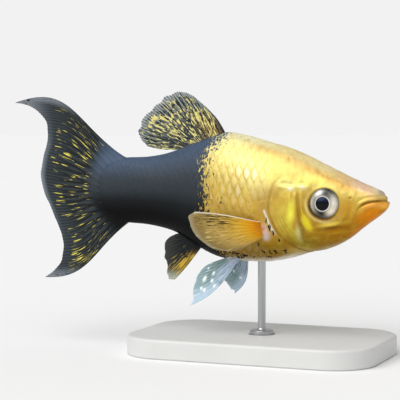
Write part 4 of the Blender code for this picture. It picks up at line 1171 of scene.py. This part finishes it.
def makeEye(side, way, material):  # rings of the turned profile, with the pupil moved and fine iris folds
    along = np.linspace(0, 1, eye["rows"])
    radius, height = through(eye["profile"], along).T
    turn = turns(eye["spokes"])
    radius, height = radius[1:-1, None], height[1:-1, None]
    forward, up = radius * np.cos(turn), radius * np.sin(turn)
    fine = 0.012 * np.cos(turn * 40) * smoothStep(radius, 1.55, 1.8) * smoothStep(radius, 2.8, 2.4)
    out = height + fine * smoothStep(height, -0.2, 0.1)
    inner = smoothStep(radius, 2.9, 1.6) * smoothStep(height, -0.3, 0.3)
    moved = forward + eye["offset"][0] * inner
    c, s = math.cos(math.radians(eye["turn"])), math.sin(math.radians(eye["turn"]))

    def placed(forward, up, out):
        x = eye["place"][0] + forward * c + out * s
        y = way * (eye["place"][1] - forward * s + out * c)
        return np.stack([x, y, eye["place"][2] + up + 0 * out], -1)

    rings = placed(moved, up, out)
    poles = placed(np.array([eye["offset"][0], 0]), np.zeros(2), np.array(eye["profile"])[[0, -1], 1])
    points = np.concatenate([rings.reshape(-1, 3), poles])

    radius = np.concatenate([(radius + 0 * turn).ravel(), [0, 0]])
    up = np.concatenate([up.ravel(), [0, 0]])
    forward = np.concatenate([forward.ravel(), [0, 0]])
    outer = np.concatenate([(height + 0 * turn).ravel(), [1, -3]])
    bearing = np.arctan2(up, forward)  # 0 towards the snout, a quarter turn upwards
    iris = irisColour(radius, bearing)
    pupil = smoothStep(radius, eye["pupil"] + 0.05, eye["pupil"] - 0.04)
    # the lens paler and bluer towards the top: a painted reflection
    lens = tint(linear("#010203") + 0 * iris, "#17294a", 0.9 * smoothStep(up, 0.0, 1.1))
    colour = iris + (lens - iris) * pupil[:, None]
    colour = tint(colour, "#2a2620", smoothStep(-outer, 0.2, 0.9))
    values = {"pigmentAndPaintedLight": colour, "shine": 0.18 * (1 - pupil) * smoothStep(radius, 2.95, 2.7)}
    faces = turnedFaces(len(rings), eye["spokes"])
    piece = addPiece(f"eye_{side}_ball", onSpine(points), faces, material, None, values)
    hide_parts(f"eye_{side}")
    return piece


eyeCoat = eyeMaterial()
for side, way in (("right", -1), ("left", 1)):
    makeEye(side, way, eyeCoat)
print("eyes done")


# The display stand

stand = {
    "length": 52.0, "width": 32.0, "height": 4.0, "corner": 9.0, "edge": 0.6,  # base, mm
    "lowerEdge": 0.3,          # bevel underneath
    "seatGap": 0.3,            # play round and under the rod's foot
    "seatEdge": 0.15,          # bevel of the foot's seat
    "rodRadius": 0.8, "footRadius": 2.4, "footThick": 1.5, "footSunk": 0.7, "ease": 0.16,
    "rodDepth": 3.5,           # mm the rod goes up into the belly
    "baseSides": 144,
    "rodSides": 64,
    "sharpFrom": 40,           # degrees between faces that make a crisp edge
}


def roundedOutline(inset, turn):  # a rectangle with quarter-circle corners, drawn in by inset
    hx, hy = stand["length"] / 2 - stand["corner"], stand["width"] / 2 - stand["corner"]
    radius = stand["corner"] - inset
    quarter = np.floor(turn / (math.pi / 2)).astype(int) % 4
    sx, sy = np.array([1, -1, -1, 1])[quarter], np.array([1, 1, -1, -1])[quarter]
    return np.stack([sx * hx + radius * np.cos(turn), sy * hy + radius * np.sin(turn)], 1)


def levelRing(radius, z, turn):  # a circle round the rod's axis
    return np.stack([radius * np.cos(turn), radius * np.sin(turn), z + 0 * turn], 1)


# rings from the underside up, closed by a pole at each of two heights
def standPiece(name, rings, poles, sides, material, node):
    points = np.concatenate([*rings, *([[0, 0, z]] for z in poles)]) * mm
    piece = addPiece(name, points, turnedFaces(len(rings), sides), material)
    piece.data.set_sharp_from_angle(angle=math.radians(stand["sharpFrom"]))
    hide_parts(node)


def makeBase(material):  # rounded outlines with a rolled upper edge, then a round seat sunk in the top
    quarter = np.linspace(0, math.pi / 2, 7)
    edge, high, gap, bevel = stand["edge"], stand["height"], stand["seatGap"], stand["seatEdge"]
    seat, floor = stand["footRadius"] + gap, high - stand["footSunk"] - gap
    insets = np.concatenate([[stand["lowerEdge"], 0.0], edge * (1 - np.cos(quarter))])
    heights = np.concatenate([[0.0, stand["lowerEdge"]], high - edge + edge * np.sin(quarter)])
    sides = stand["baseSides"]
    turn = turns(sides) + math.pi / sides
    rings = [np.column_stack([roundedOutline(i, turn), np.full(sides, h)]) for i, h in zip(insets, heights)]
    for radius, level in ((seat + bevel, high), (seat, high - bevel), (seat, floor)):
        rings.append(levelRing(radius, level, turn))
    standPiece("stand_base_coated", rings, (0, floor), sides, material, "stand_base")


def makeRod(material):  # a turned foot, a fillet and the plain rod, its tip inside the belly
    ease, foot, thick, r = stand["ease"], stand["footRadius"], stand["footThick"], stand["rodRadius"]
    level = stand["height"] - stand["footSunk"]
    belly = float(easedColumn(np.array([pose["rodStation"]]), 2)[0])
    top = pose["bodyHeight"] + belly + stand["rodDepth"]
    profile = [(foot - ease, level), (foot, level + ease), (foot, level + thick - ease),
               (foot - ease, level + thick)]
    for a in np.linspace(0, math.pi / 2, 6):  # the fillet from foot to rod
        profile.append((r + 3 * ease * (1 - math.sin(a)), level + thick + 3 * ease * (1 - math.cos(a))))
    profile += [(r, top - ease), (r - ease, top)]
    sides = stand["rodSides"]
    rings = [levelRing(radius, z, turns(sides)) for radius, z in profile]
    standPiece("stand_rod_brushed", rings, (level, top), sides, material, "stand_rod")


def powderCoat():
    # Aluminium plate in a satin powder coat: a fine orange-peel surface with 0.4 mm dimples.
    material, tree = newMaterial("satin_powder_coated_plate")
    place = objectPlace(tree)
    peel = noise(tree, place, 0.4)
    colour = mixed(tree, noise(tree, place, 9.0), "#cfcfcd", "#d9d9d7")
    rough = remap(tree, peel, target=(0.38, 0.5))
    finishMaterial(tree, {"Base Color": colour, "Roughness": rough, "Normal": bumped(tree, peel, 0.4, 0.02)})
    return material


def brushedSteel():
    # Stainless rod brushed along its length: streaks about 0.12 mm wide and 6 mm long.
    material, tree = newMaterial("brushed_stainless_rod")
    streak = noise(tree, stretched(tree, objectPlace(tree), (1, 1, 0.02)), 0.12, 3.0)
    colour = mixed(tree, streak, "#a9abac", "#c6c8c9")
    rough = remap(tree, streak, target=(0.22, 0.4))
    finishMaterial(tree, {"Base Color": colour, "Metallic": 1.0, "Roughness": rough,
                          "Normal": bumped(tree, streak, 0.25, 0.01)})
    return material


makeBase(powderCoat())
makeRod(brushedSteel())
print("stand done")


# Studio: pale floor, soft light from above, camera at the photo's angle

studio = {
    "floorRings": (0.05, 0.2, 0.8, 4.0),  # radii, metres
    "floorSides": 96,
    "floorColours": ("#f2f2f2", "#f0f0f0"),
    "floorGrain": 12.0,          # clouds to the metre
    "backdrop": "#f2f2f2",
    "fill": 0.51,                # light that comes from all round
    # lamps: name, strength, degrees turned from straight down, width in degrees as the fish sees it
    "lamps": (
        ("overhead_softbox", 2.2, (38, -18, 0), 70),
        ("small_lamp", 0.25, (40, -34, 0), 12),  # gives the wet highlights
    ),
    "cameraAzimuth": 20.0,
    "cameraHeight": 3.0,         # degrees above the fish
    "distance": 300.0,           # mm from the rod's axis at the body's centre
    "mmPerPixel": 0.2025,        # at that distance
    "imageWidth": 400,
    "rodPixel": (262.04, 196.0),  # where the rod's axis at the body's centre shows
    "sensor": 36,                # mm
    "clip": (0.01, 20),          # metres
}


def makeFloor():  # a flat disc, rings of quads round a fan
    sides = studio["floorSides"]
    radii, turn = np.array(studio["floorRings"])[:, None], turns(sides)
    rings = np.stack([radii * np.cos(turn), radii * np.sin(turn), 0 * radii * turn], -1).reshape(-1, 3)
    faces, _ = gridFaces(len(radii), sides, closed=True)
    j = np.arange(sides)
    fan = np.stack([j, (j + 1) % sides, 0 * j + len(rings)], 1)
    points = np.concatenate([rings, [[0, 0, 0]]])
    mesh = bpy.data.meshes.new("floor")
    mesh.from_pydata(points.tolist(), [], faces[:, ::-1].tolist() + fan.tolist())
    mesh.validate()
    floor = bpy.data.objects.new("floor", mesh)
    bpy.context.scene.collection.objects.link(floor)
    # Matt white paper, with clouds of a slightly greyer white.
    material, tree = newMaterial("matt_white_floor")
    inputs = {"Vector": objectPlace(tree), "Scale": studio["floorGrain"]}
    colour = mixed(tree, addNode(tree, "TexNoise", inputs).outputs[0], *studio["floorColours"])
    finishMaterial(tree, {"Base Color": colour, "Roughness": 0.9, "Specular IOR Level": 0.0})
    mesh.materials.append(material)


def makeLights():  # an even pale surround, plain white to the camera, and the lamps
    world = bpy.data.worlds.new("studio")
    bpy.context.scene.world = world
    world.use_nodes = True
    tree = world.node_tree
    tree.nodes.clear()
    seen = addNode(tree, "LightPath").outputs["Is Camera Ray"]
    strength = remap(tree, seen, target=(studio["fill"], 1.0))
    shell = addNode(tree, "Background", {"Color": studio["backdrop"], "Strength": strength})
    addNode(tree, "OutputWorld", {"Surface": shell.outputs[0]})
    for name, energy, turn, width in studio["lamps"]:
        light = bpy.data.lights.new(name, "SUN")
        light.energy = energy
        light.angle = math.radians(width)
        lamp = bpy.data.objects.new(name, light)
        lamp.rotation_euler = [math.radians(a) for a in turn]
        bpy.context.scene.collection.objects.link(lamp)


def makeCamera():  # the photo's bearing and scale, aimed so that the rod's axis falls on its pixel
    az, el = math.radians(studio["cameraAzimuth"]), math.radians(studio["cameraHeight"])
    away = Vector((math.sin(az) * math.cos(el), -math.cos(az) * math.cos(el), math.sin(el)))
    right = Vector((math.cos(az), math.sin(az), 0))
    up = away.cross(right)
    centre = Vector((0, 0, pose["bodyHeight"] * mm))
    half = studio["imageWidth"] / 2
    size = studio["mmPerPixel"] * mm
    aim = centre + right * (half - studio["rodPixel"][0]) * size - up * (half - studio["rodPixel"][1]) * size
    lens = bpy.data.cameras.new("camera")
    lens.sensor_width = studio["sensor"]
    lens.lens = studio["sensor"] * studio["distance"] / (studio["imageWidth"] * studio["mmPerPixel"])
    lens.clip_start, lens.clip_end = studio["clip"]
    camera = bpy.data.objects.new("camera", lens)
    camera.location = centre + away * studio["distance"] * mm
    camera.rotation_euler = (aim - camera.location).to_track_quat("-Z", "Y").to_euler()
    bpy.context.scene.collection.objects.link(camera)
    bpy.context.scene.camera = camera


makeFloor()
makeLights()
makeCamera()
bpy.context.scene.view_settings.view_transform = "Standard"
print("studio done")
